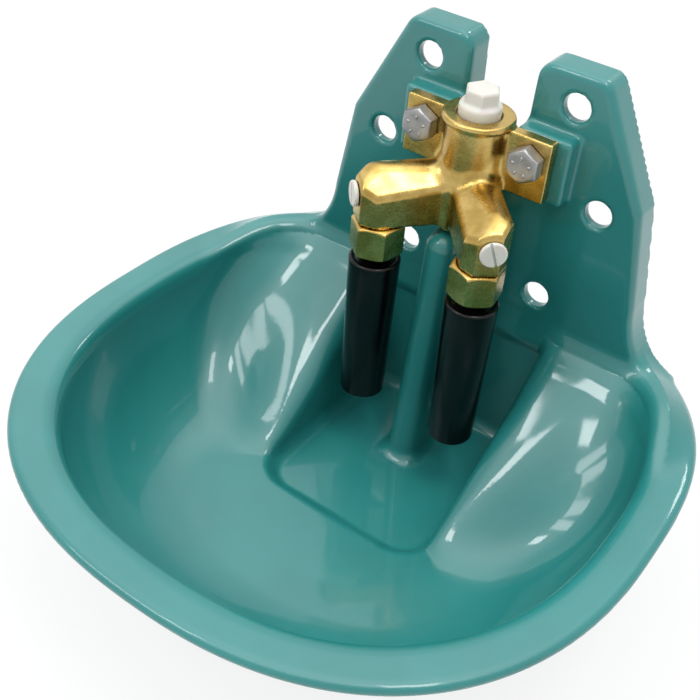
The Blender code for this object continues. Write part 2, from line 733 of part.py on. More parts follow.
def make_valve_body(parts, cutters):
    edge = BEAD_HEIGHT / 4
    hub = turned("valve_body", [
        (0, HUB_TOP_Z), (BEAD_RADIUS - edge, HUB_TOP_Z), (BEAD_RADIUS, HUB_TOP_Z - edge),
        (BEAD_RADIUS, HUB_TOP_Z - BEAD_HEIGHT + edge), (HUB_RADIUS, HUB_TOP_Z - BEAD_HEIGHT - edge / 2),
        (HUB_RADIUS, HUB_BOTTOM_Z + edge), (HUB_RADIUS - edge, HUB_BOTTOM_Z), (0, HUB_BOTTOM_Z),
    ])
    hub.location = (0, HUB_Y, 0)
    at_hub = Matrix.Translation((0, HUB_Y, 0))
    for side in (-1, 1):
        boolean(hub, arm_blank(side, cutters), "UNION", cutters)
        inner, outer = sorted((side * LUG_INNER_X, side * LUG_OUTER_X))
        lug = box("lug", (inner, LUG_FACE_Y, LUG_BOTTOM_Z), (outer, LUG_BACK_Y, LUG_TOP_Z))
        boolean(hub, lug, "UNION", cutters)
        at_tube = Matrix.Translation(tube_axis(side))
        spigot = cylinder("spigot", SPIGOT_RADIUS, SPIGOT_BOTTOM_Z, HUB_BOTTOM_Z + CUT_OVER, at_tube)
        boolean(hub, spigot, "UNION", cutters)
    inlet = cylinder(
        "inlet", INLET_THREAD_RADIUS + THREAD_GAP, INLET_FLOOR_Z, HUB_TOP_Z + CUT_OVER, at_hub
    )
    boolean(hub, inlet, "DIFFERENCE", cutters)
    waterway = cylinder(
        "waterway", WATERWAY_RADIUS, WATERWAY_BOTTOM_Z, INLET_FLOOR_Z + CUT_OVER, at_hub, SMALL_STEPS
    )
    boolean(hub, waterway, "DIFFERENCE", cutters)
    for side in (-1, 1):
        at_tube = Matrix.Translation(tube_axis(side))
        chamber = cylinder(
            "chamber", CHAMBER_RADIUS, SPIGOT_BOTTOM_Z - CUT_OVER, CHAMBER_TOP_Z, at_tube, SMALL_STEPS
        )
        boolean(hub, chamber, "DIFFERENCE", cutters)
        lying = Matrix(((0, 0, 1), (0, 1, 0), (-1, 0, 0))).to_4x4()
        at_port = arm_frame(side) @ Matrix.Translation((0, 0, PORT_Z)) @ lying
        port = cylinder("port", PORT_RADIUS, WATERWAY_RADIUS / 2, ARM_REACH - CHAMBER_RADIUS / 2, at_port, 12)
        boolean(hub, port, "DIFFERENCE", cutters)
        at_screw = throttle_frame(side)
        thread = cylinder(
            "throttle_thread", THROTTLE_SHANK_RADIUS + THREAD_GAP,
            ARM_REACH + CHAMBER_RADIUS / 2 - ARM_END, CUT_OVER, at_screw, SMALL_STEPS,
        )
        boolean(hub, thread, "DIFFERENCE", cutters)
        groove = cylinder(
            "seal_groove", SEAL_RADIUS + SEAL_SECTION + TOUCH, -SEAL_GROOVE_DEPTH, CUT_OVER, at_screw,
            SMALL_STEPS,
        )
        boolean(hub, groove, "DIFFERENCE", cutters)
        hole = cylinder(
            "lug_hole", BOLT_RADIUS + BOLT_CLEARANCE, -LUG_BACK_Y - CUT_OVER, -LUG_FACE_Y + CUT_OVER,
            bolt_axis(side), SMALL_STEPS,
        )
        boolean(hub, hole, "DIFFERENCE", cutters)
    return finish_part(hub, "brass", parts, 30)


def make_lug_bolt(name, side, parts, cutters):
    under_head = -LUG_FACE_Y + TOUCH
    tip = -PLATE_BACK_Y + BOLT_TIP_SHORT
    chamfer = 0.001
    shank = turned(name, [
        (0, under_head + BOLT_HEAD_HEIGHT / 2), (BOLT_RADIUS, under_head + BOLT_HEAD_HEIGHT / 2),
        (BOLT_RADIUS, tip + chamfer), (BOLT_RADIUS - chamfer, tip), (0, tip),
    ], steps=SMALL_STEPS)
    head = cylinder(
        "bolt_head", BOLT_HEAD_FLATS / 2 * HEX_CORNER, under_head, under_head + BOLT_HEAD_HEIGHT,
        Matrix.Rotation(math.pi / 2, 4, "Z"), 6,
    )
    radius = BOLT_HEAD_FLATS / 2
    crown = turned("bolt_crown", [
        (0, under_head + BOLT_HEAD_HEIGHT + CUT_OVER / 2), (radius * 0.96, under_head + BOLT_HEAD_HEIGHT),
        (radius * 1.25, under_head + BOLT_HEAD_HEIGHT - radius * 0.16), (radius * 1.25, under_head - CUT_OVER),
        (0, under_head - CUT_OVER),
    ], steps=24)
    boolean(head, crown, "INTERSECT", cutters)
    boolean(shank, head, "UNION", cutters)
    place = bolt_axis(side)
    head.matrix_world = place
    crown.matrix_world = place
    shank.matrix_world = place
    return finish_part(shank, "zinc", parts, 25)


def make_inlet_plug(parts, cutters):
    """White transport plug: a threaded barrel with a six-sided head; origin on the inlet's axis."""
    top = PLUG_ROUND_TOP
    chamfer = 0.0008
    radius = INLET_THREAD_RADIUS - THREAD_GAP / 2
    barrel = turned("inlet_plug", [
        (0, top), (radius - chamfer, top), (radius, top - chamfer), (radius, chamfer - PLUG_THREAD_LENGTH),
        (radius - chamfer, -PLUG_THREAD_LENGTH), (0, -PLUG_THREAD_LENGTH),
    ])
    head = cylinder(
        "plug_head", PLUG_HEAD_FLATS / 2 * HEX_CORNER, top - CUT_OVER, top + PLUG_HEAD_HEIGHT, None, 6
    )
    boolean(barrel, head, "UNION", cutters)
    barrel.location = head.location = (0, HUB_Y, HUB_TOP_Z)
    return finish_part(barrel, "white_plastic", parts)


def make_strainer(parts, cutters):
    """Slotted cup on a flange that lies on the floor of the inlet thread."""
    flange = INLET_THREAD_RADIUS - THREAD_GAP
    low = INLET_FLOOR_Z + TOUCH
    cup = STRAINER_CUP_RADIUS
    wall = STRAINER_WALL
    bottom = low - STRAINER_CUP_LENGTH
    strainer = turned("inlet_strainer", [
        (cup - wall, low + STRAINER_FLANGE_HEIGHT), (flange, low + STRAINER_FLANGE_HEIGHT), (flange, low),
        (cup, low), (cup, bottom), (0, bottom), (0, bottom + wall), (cup - wall, bottom + wall),
    ], closed=True, steps=24)
    for i in range(STRAINER_SLOTS // 2):
        width = STRAINER_SLOT_WIDTH / 2
        slot_top = low - STRAINER_SLOT_DROP
        slot = box(
            "strainer_slot", (-cup - CUT_OVER, -width, slot_top - STRAINER_SLOT_LENGTH),
            (cup + CUT_OVER, width, slot_top),
        )
        slot.data.transform(Matrix.Rotation(2 * math.pi * i / STRAINER_SLOTS, 4, "Z"))
        slot.location = (0, HUB_Y, 0)
        boolean(strainer, slot, "DIFFERENCE", cutters)
    strainer.location = (0, HUB_Y, 0)
    return finish_part(strainer, "stainless", parts)


def make_union_nut(name, side, parts, cutters):
    """Hexagon nut that screws on the arm's spigot; its cup carries the tilt ring."""
    corner = NUT_FLATS / 2 * HEX_CORNER
    top = NUT_TOP_Z - PIVOT_Z
    bottom = NUT_BOTTOM_Z - PIVOT_Z
    nut = cylinder(name, corner, bottom, top, Matrix.Rotation(math.pi / 6, 4, "Z"), 6)
    slim = corner - 2 * NUT_CHAMFER
    wide = corner + NUT_CHAMFER
    blank = turned("nut_blank", [
        (0, top + NUT_CHAMFER), (slim, top + NUT_CHAMFER), (wide, top - 2 * NUT_CHAMFER),
        (wide, bottom + 2 * NUT_CHAMFER), (slim, bottom - NUT_CHAMFER), (0, bottom - NUT_CHAMFER),
    ], steps=36)
    boolean(nut, blank, "INTERSECT", cutters)
    profile = [(0, top + CUT_OVER), (NUT_BORE, top + CUT_OVER), (NUT_BORE, 0)]
    throat = -math.degrees(math.asin(NUT_THROAT_DROP / NUT_BORE))
    profile += arc((0, 0), NUT_BORE, throat / 5, throat, 4)
    profile += [(NUT_MOUTH_RADIUS, bottom - TOUCH), (NUT_MOUTH_RADIUS, bottom - CUT_OVER), (0, bottom - CUT_OVER)]
    bore = turned("nut_bore", profile)
    boolean(nut, bore, "DIFFERENCE", cutters)
    place = Matrix.Translation(tube_axis(side) + Vector((0, 0, PIVOT_Z))) @ Matrix.Rotation(
        side * ARM_ANGLE, 4, "Z"
    )
    for obj in (nut, blank, bore):
        obj.matrix_world = place
    return finish_part(nut, "brass", parts, 30)


def make_tilt_ring(name, side, parts):
    """Ring with round faces inside and out; the tube's head swivels in it; origin at the pivot."""
    outer_end = math.degrees(math.asin(RING_HALF_HEIGHT / RING_OUTER))
    inner_end = math.degrees(math.asin(RING_HALF_HEIGHT / RING_INNER))
    profile = arc((0, 0), RING_OUTER, outer_end, -outer_end, 4)
    profile += arc((0, 0), RING_INNER, -inner_end, inner_end, 4)
    ring = turned(name, profile, closed=True)
    ring.location = tube_axis(side) + Vector((0, 0, PIVOT_Z))
    return finish_part(ring, "brass", parts)


def make_drink_tube(name, side, parts):
    """Push tube with a ball head, a neck, a dished top and an open bore; origin at the pivot."""
    flat = math.degrees(math.asin(HEAD_FLAT_RISE / HEAD_RADIUS))
    neck = -math.degrees(math.acos(NECK_RADIUS / HEAD_RADIUS))
    top = TUBE_TOP_Z - PIVOT_Z
    bottom = TUBE_BOTTOM_Z - PIVOT_Z
    lip = TUBE_LIP
    well = top - TUBE_DISH_DEPTH
    profile = arc((0, 0), HEAD_RADIUS, flat, neck, 7)
    profile += [(NECK_RADIUS, well + 2 * lip), (NECK_RADIUS + lip, well), (TUBE_TOP_RADIUS - 2.5 * lip, well)]
    profile += arc((TUBE_TOP_RADIUS - lip, top - lip), lip, 125, -10, 5)
    profile += arc((TUBE_BOTTOM_RADIUS - lip, bottom + lip), lip, 0, -90, 3)
    bore = TUBE_BOTTOM_RADIUS - TUBE_WALL
    profile += [(bore + lip, bottom), (bore, bottom + lip), (bore, top - 2 * TUBE_WALL)]
    profile += [(HEAD_BORE_RADIUS, well - TUBE_WALL), (HEAD_BORE_RADIUS, HEAD_FLAT_RISE)]
    tube = turned(name, profile, closed=True)
    tube.location = tube_axis(side) + Vector((0, 0, PIVOT_Z))
    return finish_part(tube, "black_plastic", parts)


def make_valve_seat(name, side, parts):
    outer = CHAMBER_RADIUS - TOUCH
    top = SEAT_BOTTOM_Z + SEAT_HEIGHT
    seat = turned(name, [
        (outer, top), (outer, SEAT_BOTTOM_Z), (SEAT_BORE_RADIUS, SEAT_BOTTOM_Z), (SEAT_BORE_RADIUS, top),
    ], closed=True, steps=SMALL_STEPS)
    seat.location = tube_axis(side)
    return finish_part(seat, "stainless", parts)


def disc_levels():
    """Bottom and top of the rubber disc at rest."""
    bottom = SEAT_BOTTOM_Z + SEAT_HEIGHT + TOUCH
    return bottom, bottom + DISC_HEIGHT


def make_valve_stem(name, side, parts):
    """Stem: a foot over the tube's head, a rod through the seat and the disc, and a spring collar."""
    foot = PIVOT_Z + HEAD_FLAT_RISE + STEM_FOOT_GAP
    collar = disc_levels()[1] + TOUCH
    tip = collar + 3 * STEM_COLLAR_HEIGHT
    stem = turned(name, [
        (0, tip), (STEM_RADIUS, tip), (STEM_RADIUS, collar + STEM_COLLAR_HEIGHT),
        (STEM_COLLAR_RADIUS, collar + STEM_COLLAR_HEIGHT), (STEM_COLLAR_RADIUS, collar), (STEM_RADIUS, collar),
        (STEM_RADIUS, foot + STEM_FOOT_HEIGHT), (STEM_FOOT_RADIUS, foot + STEM_FOOT_HEIGHT),
        (STEM_FOOT_RADIUS, foot), (0, foot),
    ], steps=SMALL_STEPS)
    stem.location = tube_axis(side)
    return finish_part(stem, "stainless", parts)


def make_valve_disc(name, side, parts):
    bottom, top = disc_levels()
    bore = STEM_RADIUS + TOUCH
    disc = turned(name, [
        (DISC_RADIUS, top), (DISC_RADIUS, bottom), (bore, bottom), (bore, top),
    ], closed=True, steps=SMALL_STEPS)
    disc.location = tube_axis(side)
    return finish_part(disc, "rubber", parts)


def make_return_spring(name, side, parts):
    """Coil between the stem's collar and the roof of the chamber."""
    low = disc_levels()[1] + TOUCH + STEM_COLLAR_HEIGHT + TOUCH + SPRING_WIRE / 2
    high = CHAMBER_TOP_Z - TOUCH - SPRING_WIRE / 2
    per_turn = 8
    count = SPRING_TURNS * per_turn
    open_turns = SPRING_TURNS - 2
    points = []
    for i in range(count + 1):
        turn = i / per_turn
        closed_turns = min(turn, 1.0) + max(0.0, turn - 1.0 - open_turns)
        open_share = min(1.0, max(0.0, (turn - 1.0) / open_turns))
        lift = SPRING_END_PITCH * closed_turns + (high - low - 2 * SPRING_END_PITCH) * open_share
        angle = 2 * math.pi * turn
        points.append((SPRING_RADIUS * math.cos(angle), SPRING_RADIUS * math.sin(angle), low + lift))
    gaps = [
        math.dist(points[i], points[j]) - SPRING_WIRE
        for i in range(len(points)) for j in range(i + per_turn // 2, len(points))
    ]
    print(f"{name}: least gap between turns {min(gaps) * 1000:.2f} mm")
    curve = bpy.data.curves.new(name, "CURVE")
    curve.dimensions = "3D"
    curve.bevel_depth = SPRING_WIRE / 2
    curve.bevel_resolution = 1
    curve.use_fill_caps = True
    spline = curve.splines.new("POLY")
    spline.points.add(len(points) - 1)
    for point, place in zip(spline.points, points):
        point.co = (*place, 1.0)
    spring = link_object(name, curve)
    spring.location = tube_axis(side)
    bpy.context.view_layer.update()
    spring = curve_to_mesh(spring)
    return finish_part(spring, "stainless", parts, 60)


def make_throttle_screw(name, side, parts, cutters):
    """Slotted flow screw; local Z is its axis, out along the arm."""
    head = THROTTLE_HEAD_RADIUS
    low = TOUCH
    top = low + THROTTLE_HEAD_HEIGHT
    rounding = THROTTLE_HEAD_ROUND
    tip = ARM_REACH + CHAMBER_RADIUS - ARM_END + THROTTLE_TIP_SHORT
    cone = THROTTLE_SHANK_RADIUS / 2
    screw = turned(name, [
        (0, top), (head - rounding, top), (head, top - rounding), (head, low), (THROTTLE_SHANK_RADIUS, low),
        (THROTTLE_SHANK_RADIUS, tip + cone), (cone, tip), (0, tip),
    ], steps=24)
    slot = box(
        "screw_slot", (-head - CUT_OVER, -THROTTLE_SLOT_WIDTH / 2, top - THROTTLE_SLOT_DEPTH),
        (head + CUT_OVER, THROTTLE_SLOT_WIDTH / 2, top + CUT_OVER),
    )
    boolean(screw, slot, "DIFFERENCE", cutters)
    screw.matrix_world = throttle_frame(side)
    slot.matrix_world = throttle_frame(side)
    return finish_part(screw, "white_plastic", parts)


def make_throttle_seal(name, side, parts):
    """Ring seal in the groove under the screw's head; local Z is the screw's axis."""
    middle = -SEAL_GROOVE_DEPTH + TOUCH + SEAL_SECTION
    profile = arc((SEAL_RADIUS, middle), SEAL_SECTION, 90, -225, 7)
    seal = turned(name, profile, closed=True, steps=SMALL_STEPS)
    seal.matrix_world = throttle_frame(side)
    return finish_part(seal, "rubber", parts)


def main():
    clear_scene()
    parts = new_collection("double_livestock_drinker")
    cutters = new_collection("cutters")
    make_bowl(parts, cutters)
    make_valve_body(parts, cutters)
    make_inlet_plug(parts, cutters)
    make_strainer(parts, cutters)
    for label, side in (("left", -1), ("right", 1)):
        make_lug_bolt(f"{label}_lug_bolt", side, parts, cutters)
        make_union_nut(f"{label}_union_nut", side, parts, cutters)
        make_tilt_ring(f"{label}_tilt_ring", side, parts)
        make_drink_tube(f"{label}_drink_tube", side, parts)
        make_valve_seat(f"{label}_valve_seat", side, parts)
        make_valve_stem(f"{label}_valve_stem", side, parts)
        make_valve_disc(f"{label}_valve_disc", side, parts)
        make_return_spring(f"{label}_return_spring", side, parts)
        make_throttle_screw(f"{label}_throttle_screw", side, parts, cutters)
        make_throttle_seal(f"{label}_throttle_seal", side, parts)


main()
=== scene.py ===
"""Looks of a wall-hung livestock drinker with two tube valves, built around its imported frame."""

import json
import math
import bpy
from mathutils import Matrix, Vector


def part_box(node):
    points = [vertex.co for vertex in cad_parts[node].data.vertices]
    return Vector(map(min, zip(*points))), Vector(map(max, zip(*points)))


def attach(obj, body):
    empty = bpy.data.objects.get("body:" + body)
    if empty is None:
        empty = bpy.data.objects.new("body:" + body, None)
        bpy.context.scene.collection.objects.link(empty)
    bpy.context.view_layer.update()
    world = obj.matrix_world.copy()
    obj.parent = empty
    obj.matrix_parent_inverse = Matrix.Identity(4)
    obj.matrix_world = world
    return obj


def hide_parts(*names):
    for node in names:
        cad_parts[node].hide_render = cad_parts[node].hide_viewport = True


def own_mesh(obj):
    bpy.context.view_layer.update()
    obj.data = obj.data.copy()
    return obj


bl_info = {
    "name": "Double livestock drinker",
    "version": (1, 0, 0),
    "blender": (4, 5, 0),
    "location": "View3D > Sidebar > Drinker",
    "description": "Enamelled bowl, brass valve, push tubes and studio of a livestock drinker",
    "category": "Object",
}

import bmesh
import bpy
import numpy as np
from bpy.props import FloatProperty, FloatVectorProperty, PointerProperty
from mathutils import Matrix, Vector

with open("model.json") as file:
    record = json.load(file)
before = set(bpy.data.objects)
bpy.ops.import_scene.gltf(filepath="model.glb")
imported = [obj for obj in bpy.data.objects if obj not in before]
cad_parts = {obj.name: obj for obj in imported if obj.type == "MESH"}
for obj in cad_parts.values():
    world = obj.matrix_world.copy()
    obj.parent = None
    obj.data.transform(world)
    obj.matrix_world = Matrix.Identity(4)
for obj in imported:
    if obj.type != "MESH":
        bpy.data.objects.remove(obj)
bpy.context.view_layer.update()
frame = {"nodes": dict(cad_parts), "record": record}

BOWL_LOW, BOWL_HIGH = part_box("bowl")
TUBE_LOW, TUBE_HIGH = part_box("right_drink_tube")
NUT_LOW, NUT_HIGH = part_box("right_union_nut")
VALVE_LOW, VALVE_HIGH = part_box("valve_body")
BOLT_LOW, BOLT_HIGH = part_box("right_lug_bolt")
PLUG_LOW, PLUG_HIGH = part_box("inlet_plug")
TUBE_X = (TUBE_LOW.x + TUBE_HIGH.x) / 2
TUBE_Y = (TUBE_LOW.y + TUBE_HIGH.y) / 2
HUB_Y = (PLUG_LOW.y + PLUG_HIGH.y) / 2
HEAD_FACE = 0.0012 - BOLT_LOW.y
SCREW_X, SCREW_Z = 0.029, 0.1094
RIM_MIDDLE = 0.119
SIDES = (("left", -1), ("right", 1))
UP = Vector((0, 0, 1))


def length_setting(name, description, default):
    return FloatProperty(name=name, description=description, default=default, unit="LENGTH", min=0.0)


def colour_setting(name, description, default):
    return FloatVectorProperty(
        name=name, description=description, default=default, size=3, subtype="COLOR", min=0.0, max=1.0
    )


class DrinkerBowlSettings(bpy.types.PropertyGroup):
    """Sizes of the enamelled casting."""

    cell: length_setting("Skin cell", "Grid on which the casting's skin is found", 0.0017)
    keep: FloatProperty(name="Keep", description="Share of the skin's faces that is kept", default=0.78)
    rim_half_width: length_setting("Rim half width", "From the middle to the rim's side", BOWL_HIGH.x)
    rim_middle: length_setting("Rim middle", "From the wall to the widest place of the rim", RIM_MIDDLE)
    rim_front: length_setting("Rim front", "From the widest place to the front", -BOWL_LOW.y - RIM_MIDDLE)
    rim_thickness: length_setting("Rim thickness", "Thickness of the flat band", 0.006)
    band: length_setting("Band", "Width of the flat band", 0.015)
    band_fillet: length_setting("Band fillet", "Rounding from the band into the dish", 0.009)
    wall: length_setting("Wall", "Thickness of the casting", 0.006)
    pocket_half_width: length_setting("Pocket half width", "Half the width of the sunk pocket", 0.050)
    pocket_front: length_setting("Pocket front", "From the wall to the front of the pocket", 0.130)
    plate_depth: length_setting("Plate depth", "From the wall to the plate's face", 0.018)
    crease: length_setting("Crease", "Rounding where the plate meets the dish", 0.005)
    edge: length_setting("Plate edge", "Rounding of the plate's front edge", 0.0045)
    hole: length_setting("Hole radius", "Radius of a fixing hole", 0.007)
    enamel: colour_setting("Enamel", "Colour of the enamel", (0.018, 0.222, 0.213))


class DrinkerValveSettings(bpy.types.PropertyGroup):
    """Sizes of the brass casting and its small pieces."""

    cell: length_setting("Skin cell", "Grid on which the casting's skin is found", 0.00075)
    small_cell: length_setting("Small cell", "Grid for nuts, screws and the plug", 0.00042)
    root_fillet: length_setting("Root fillet", "Rounding where the arms leave the hub", 0.0065)
    crotch_fillet: length_setting("Crotch fillet", "Rounding between the two arms", 0.005)
    edge: length_setting("Edge", "Rounding of the arms' edges", 0.0024)
    bolt_turn: FloatProperty(name="Screw turn", description="Turn of the lug screws' hexagons", default=0.0)
    slot_turn: FloatProperty(name="Slot turn", description="Turn of the flow screws' slots", default=-72.0)


class DrinkerTubeSettings(bpy.types.PropertyGroup):
    """Sizes of the push tubes."""

    top_radius: length_setting("Top radius", "Radius under the lip", (TUBE_HIGH.x - TUBE_LOW.x) / 2)
    bottom_radius: length_setting("Bottom radius", "Radius at the mouth", 0.012)
    wall: length_setting("Wall", "Thickness of the tube's wall", 0.0035)


class DrinkerStageSettings(bpy.types.PropertyGroup):
    """Levels of the studio's light."""

    low_level: FloatProperty(name="Low level", description="Brightness of the surround below", default=0.08)
    high_level: FloatProperty(name="High level", description="Brightness of the surround above", default=0.60)
    floor_glow: FloatProperty(name="Floor glow", description="Share of plain white on the floor", default=0.85)


def smooth_join(a, b, radius):
    """Union of two fields with a fillet."""
    near = np.maximum(radius - np.abs(a - b), 0.0) / radius
    return np.minimum(a, b) - near * near * radius * 0.25


def smooth_keep(a, b, radius):
    """What two fields share, with a rounded edge."""
    return -smooth_join(-a, -b, radius)


def smooth_cut(a, b, radius):
    """Field a less field b, with a rounded edge."""
    return -smooth_join(-a, b, radius)


def between(value, low, high):
    """Field of the room between two levels."""
    return np.maximum(low - value, value - high)


def slanted(a, b, slope):
    """Plane a + slope * b, as a distance."""
    return (a + slope * b) / math.hypot(1, slope)


def eased(share):
    """A share held between 0 and 1 and eased at both ends."""
    share = np.clip(share, 0, 1)
    return share * share * (3 - 2 * share)


def outline_field(points, x, z):
    """Distance from a closed outline, negative inside it."""
    best, inside = np.inf, False
    for (ax, az), (bx, bz) in zip(points, points[1:] + points[:1]):
        ex, ez = bx - ax, bz - az
        wx, wz = x - ax, z - az
        share = np.clip((wx * ex + wz * ez) / (ex * ex + ez * ez), 0.0, 1.0)
        gap = (wx - ex * share) ** 2 + (wz - ez * share) ** 2
        best = np.minimum(best, gap)
        if ez != 0:
            inside = inside ^ (((az > z) != (bz > z)) & (x < ex * (z - az) / ez + ax))
    return np.where(inside, -1.0, 1.0) * np.sqrt(best)


def box_field(x, y, z, low, high, radius):
    """A box with rounded edges."""
    parts = [np.abs(v - (a + b) / 2) - ((b - a) / 2 - radius) for v, a, b in zip((x, y, z), low, high)]
    outside = sum(np.maximum(part, 0.0) ** 2 for part in parts)
    inside = np.minimum(np.maximum(np.maximum(parts[0], parts[1]), parts[2]), 0.0)
    return np.sqrt(outside) + inside - radius


def skin_points(values, low, cell):
    """One point in every grid cell that the zero level crosses, and the quads between them."""
    solid = values < 0
    count = np.zeros(tuple(n - 1 for n in solid.shape), np.uint8)
    corners = list(np.ndindex(2, 2, 2))
    nx, ny, nz = count.shape
    for i, j, k in corners:
        count += solid[i:nx + i, j:ny + j, k:nz + k]
    active = (count > 0) & (count < 8)
    where = np.argwhere(active)
    total = np.zeros((len(where), 3))
    hits = np.zeros(len(where))
    for start in corners:
        for axis in range(3):
            if start[axis]:
                continue
            end = tuple(start[n] + (n == axis) for n in range(3))
            a = values[where[:, 0] + start[0], where[:, 1] + start[1], where[:, 2] + start[2]]
            b = values[where[:, 0] + end[0], where[:, 1] + end[1], where[:, 2] + end[2]]
            crossed = (a < 0) != (b < 0)
            share = np.where(crossed, a / np.where(crossed, a - b, 1.0), 0.0)
            spot = np.array(start, float)[None] + share[:, None] * np.eye(3)[axis][None]
            total += np.where(crossed[:, None], spot, 0.0)
            hits += crossed
    points = np.array(low)[None] + cell * (where + total / hits[:, None])
    number = np.full(active.shape, -1, np.int64)
    number[active] = np.arange(len(where))
    quads = []
    for axis in range(3):
        u, v = (axis + 1) % 3, (axis + 2) % 3
        layers = np.moveaxis(solid, axis, 0)
        first, second = (np.moveaxis(part, 0, axis) for part in (layers[:-1], layers[1:]))
        edge = np.argwhere(first != second)
        edge = edge[(edge[:, u] > 0) & (edge[:, v] > 0)]
        outward = first[edge[:, 0], edge[:, 1], edge[:, 2]]
        ring = []
        for du, dv in ((1, 1), (0, 1), (0, 0), (1, 0)):
            spot = edge.copy()
            spot[:, u] -= du
            spot[:, v] -= dv
            ring.append(number[spot[:, 0], spot[:, 1], spot[:, 2]])
        ring = np.stack(ring, 1)
        quads.append(np.where(outward[:, None], ring, ring[:, ::-1]))
    return points, np.concatenate(quads)


def slope_of(field, points, step):
    """Value and gradient of a field at points."""
    x, y, z = points.T
    value = field(x, y, z)
    slope = [
        field(x + i, y + j, z + k) - field(x - i, y - j, z - k) for i, j, k in np.eye(3) * step
    ]
    return value, np.stack(slope, 1) / (2 * step)


def settle(field, points, cell, rounds=3):
    """Pull points onto the zero level of a field; also returns the outward normals there."""
    for _ in range(rounds):
        value, slope = slope_of(field, points, cell * 0.1)
        size = np.maximum((slope ** 2).sum(1), 0.05)
        move = -value[:, None] * slope / size[:, None]
        reach = np.maximum(np.sqrt((move ** 2).sum(1)) / (0.6 * cell), 1.0)
        points = points + move / reach[:, None]
    slope = slope_of(field, points, cell * 0.1)[1]
    return points, slope / np.maximum(np.sqrt((slope ** 2).sum(1)), 1e-9)[:, None]


def mesh_from_arrays(name, points, faces):
    mesh = bpy.data.meshes.new(name)
    mesh.vertices.add(len(points))
    mesh.vertices.foreach_set("co", points.astype(np.float32).ravel())
    mesh.loops.add(faces.size)
    mesh.loops.foreach_set("vertex_index", faces.astype(np.int32).ravel())
    mesh.polygons.add(len(faces))
    mesh.polygons.foreach_set("loop_start", np.arange(0, faces.size, faces.shape[1], dtype=np.int32))
    mesh.update(calc_edges=True)
    mesh.validate()
    return mesh


def link_object(name, data):
    obj = bpy.data.objects.new(name, data)
    bpy.context.scene.collection.objects.link(obj)
    return obj


def baked(obj):
    """Swap an object's live modifiers for the mesh that they make."""
    bpy.context.view_layer.update()
    made = bpy.data.meshes.new_from_object(obj.evaluated_get(bpy.context.evaluated_depsgraph_get()))
    made.name = obj.name
    obj.modifiers.clear()
    obj.data = made
    return obj


def cast_piece(name, field, low, high, cell, keep=1.0):
    """A casting skinned from a field on a grid; keep is the share of faces that stays."""
    counts = [int(math.ceil((b - a) / cell)) + 1 for a, b in zip(low, high)]
    x, y, z = (low[n] + cell * np.arange(counts[n]) for n in range(3))
    values = np.empty(counts, np.float32)
    slab = 24
    for start in range(0, counts[0], slab):
        part = x[start:start + slab]
        values[start:start + slab] = field(part[:, None, None], y[None, :, None], z[None, None, :])
    points, faces = skin_points(values, low, cell)
    points, normals = settle(field, points, cell)
    obj = link_object(name, mesh_from_arrays(name, points, faces))
    if keep < 1.0:
        thin = obj.modifiers.new("thin", "DECIMATE")
        thin.ratio = keep
        baked(obj)
        points = np.empty(len(obj.data.vertices) * 3)
        obj.data.vertices.foreach_get("co", points)
        points, normals = settle(field, points.reshape(-1, 3), cell, 2)
        obj.data.vertices.foreach_set("co", points.astype(np.float32).ravel())
    obj.data.shade_smooth()
    obj.data.normals_split_custom_set_from_vertices([tuple(normal) for normal in normals])
    return obj


def cast_whole(name, field, low, high, cell, keep=1.0):
    """A casting skinned within its CAD box and a margin of grid cells."""
    margin = 2.5 * cell
    return cast_piece(name, field, [v - margin for v in low], [v + margin for v in high], cell, keep)


def cast_round(name, field, half_width, low_z, high_z, cell, place, keep):
    """Cast a small piece about its own axis and turn it into its place."""
    low, high = (-half_width, -half_width, low_z), (half_width, half_width, high_z)
    piece = cast_piece(name, field, low, high, cell, keep)
    piece.data.transform(place)
    return piece


def arc(centre, radius, start, end, steps):
    """Points of an arc, from one angle in degrees to another."""
    angles = (math.radians(start + (end - start) * i / steps) for i in range(steps + 1))
    return [(centre[0] + radius * math.cos(a), centre[1] + radius * math.sin(a)) for a in angles]


def round_corner(before, corner, after, radius, steps=6):
    """Points of an arc that rounds a corner between two straight runs."""
    corner = Vector(corner)
    back = (Vector(before) - corner).normalized()
    on = (Vector(after) - corner).normalized()
    half = back.angle(on) / 2
    centre = corner + (back + on).normalized() * radius / math.sin(half)
    reach = radius / math.tan(half)
    first = (corner + back * reach - centre).normalized()
    last = (corner + on * reach - centre).normalized()
    return [tuple(centre + first.slerp(last, i / steps) * radius) for i in range(steps + 1)]


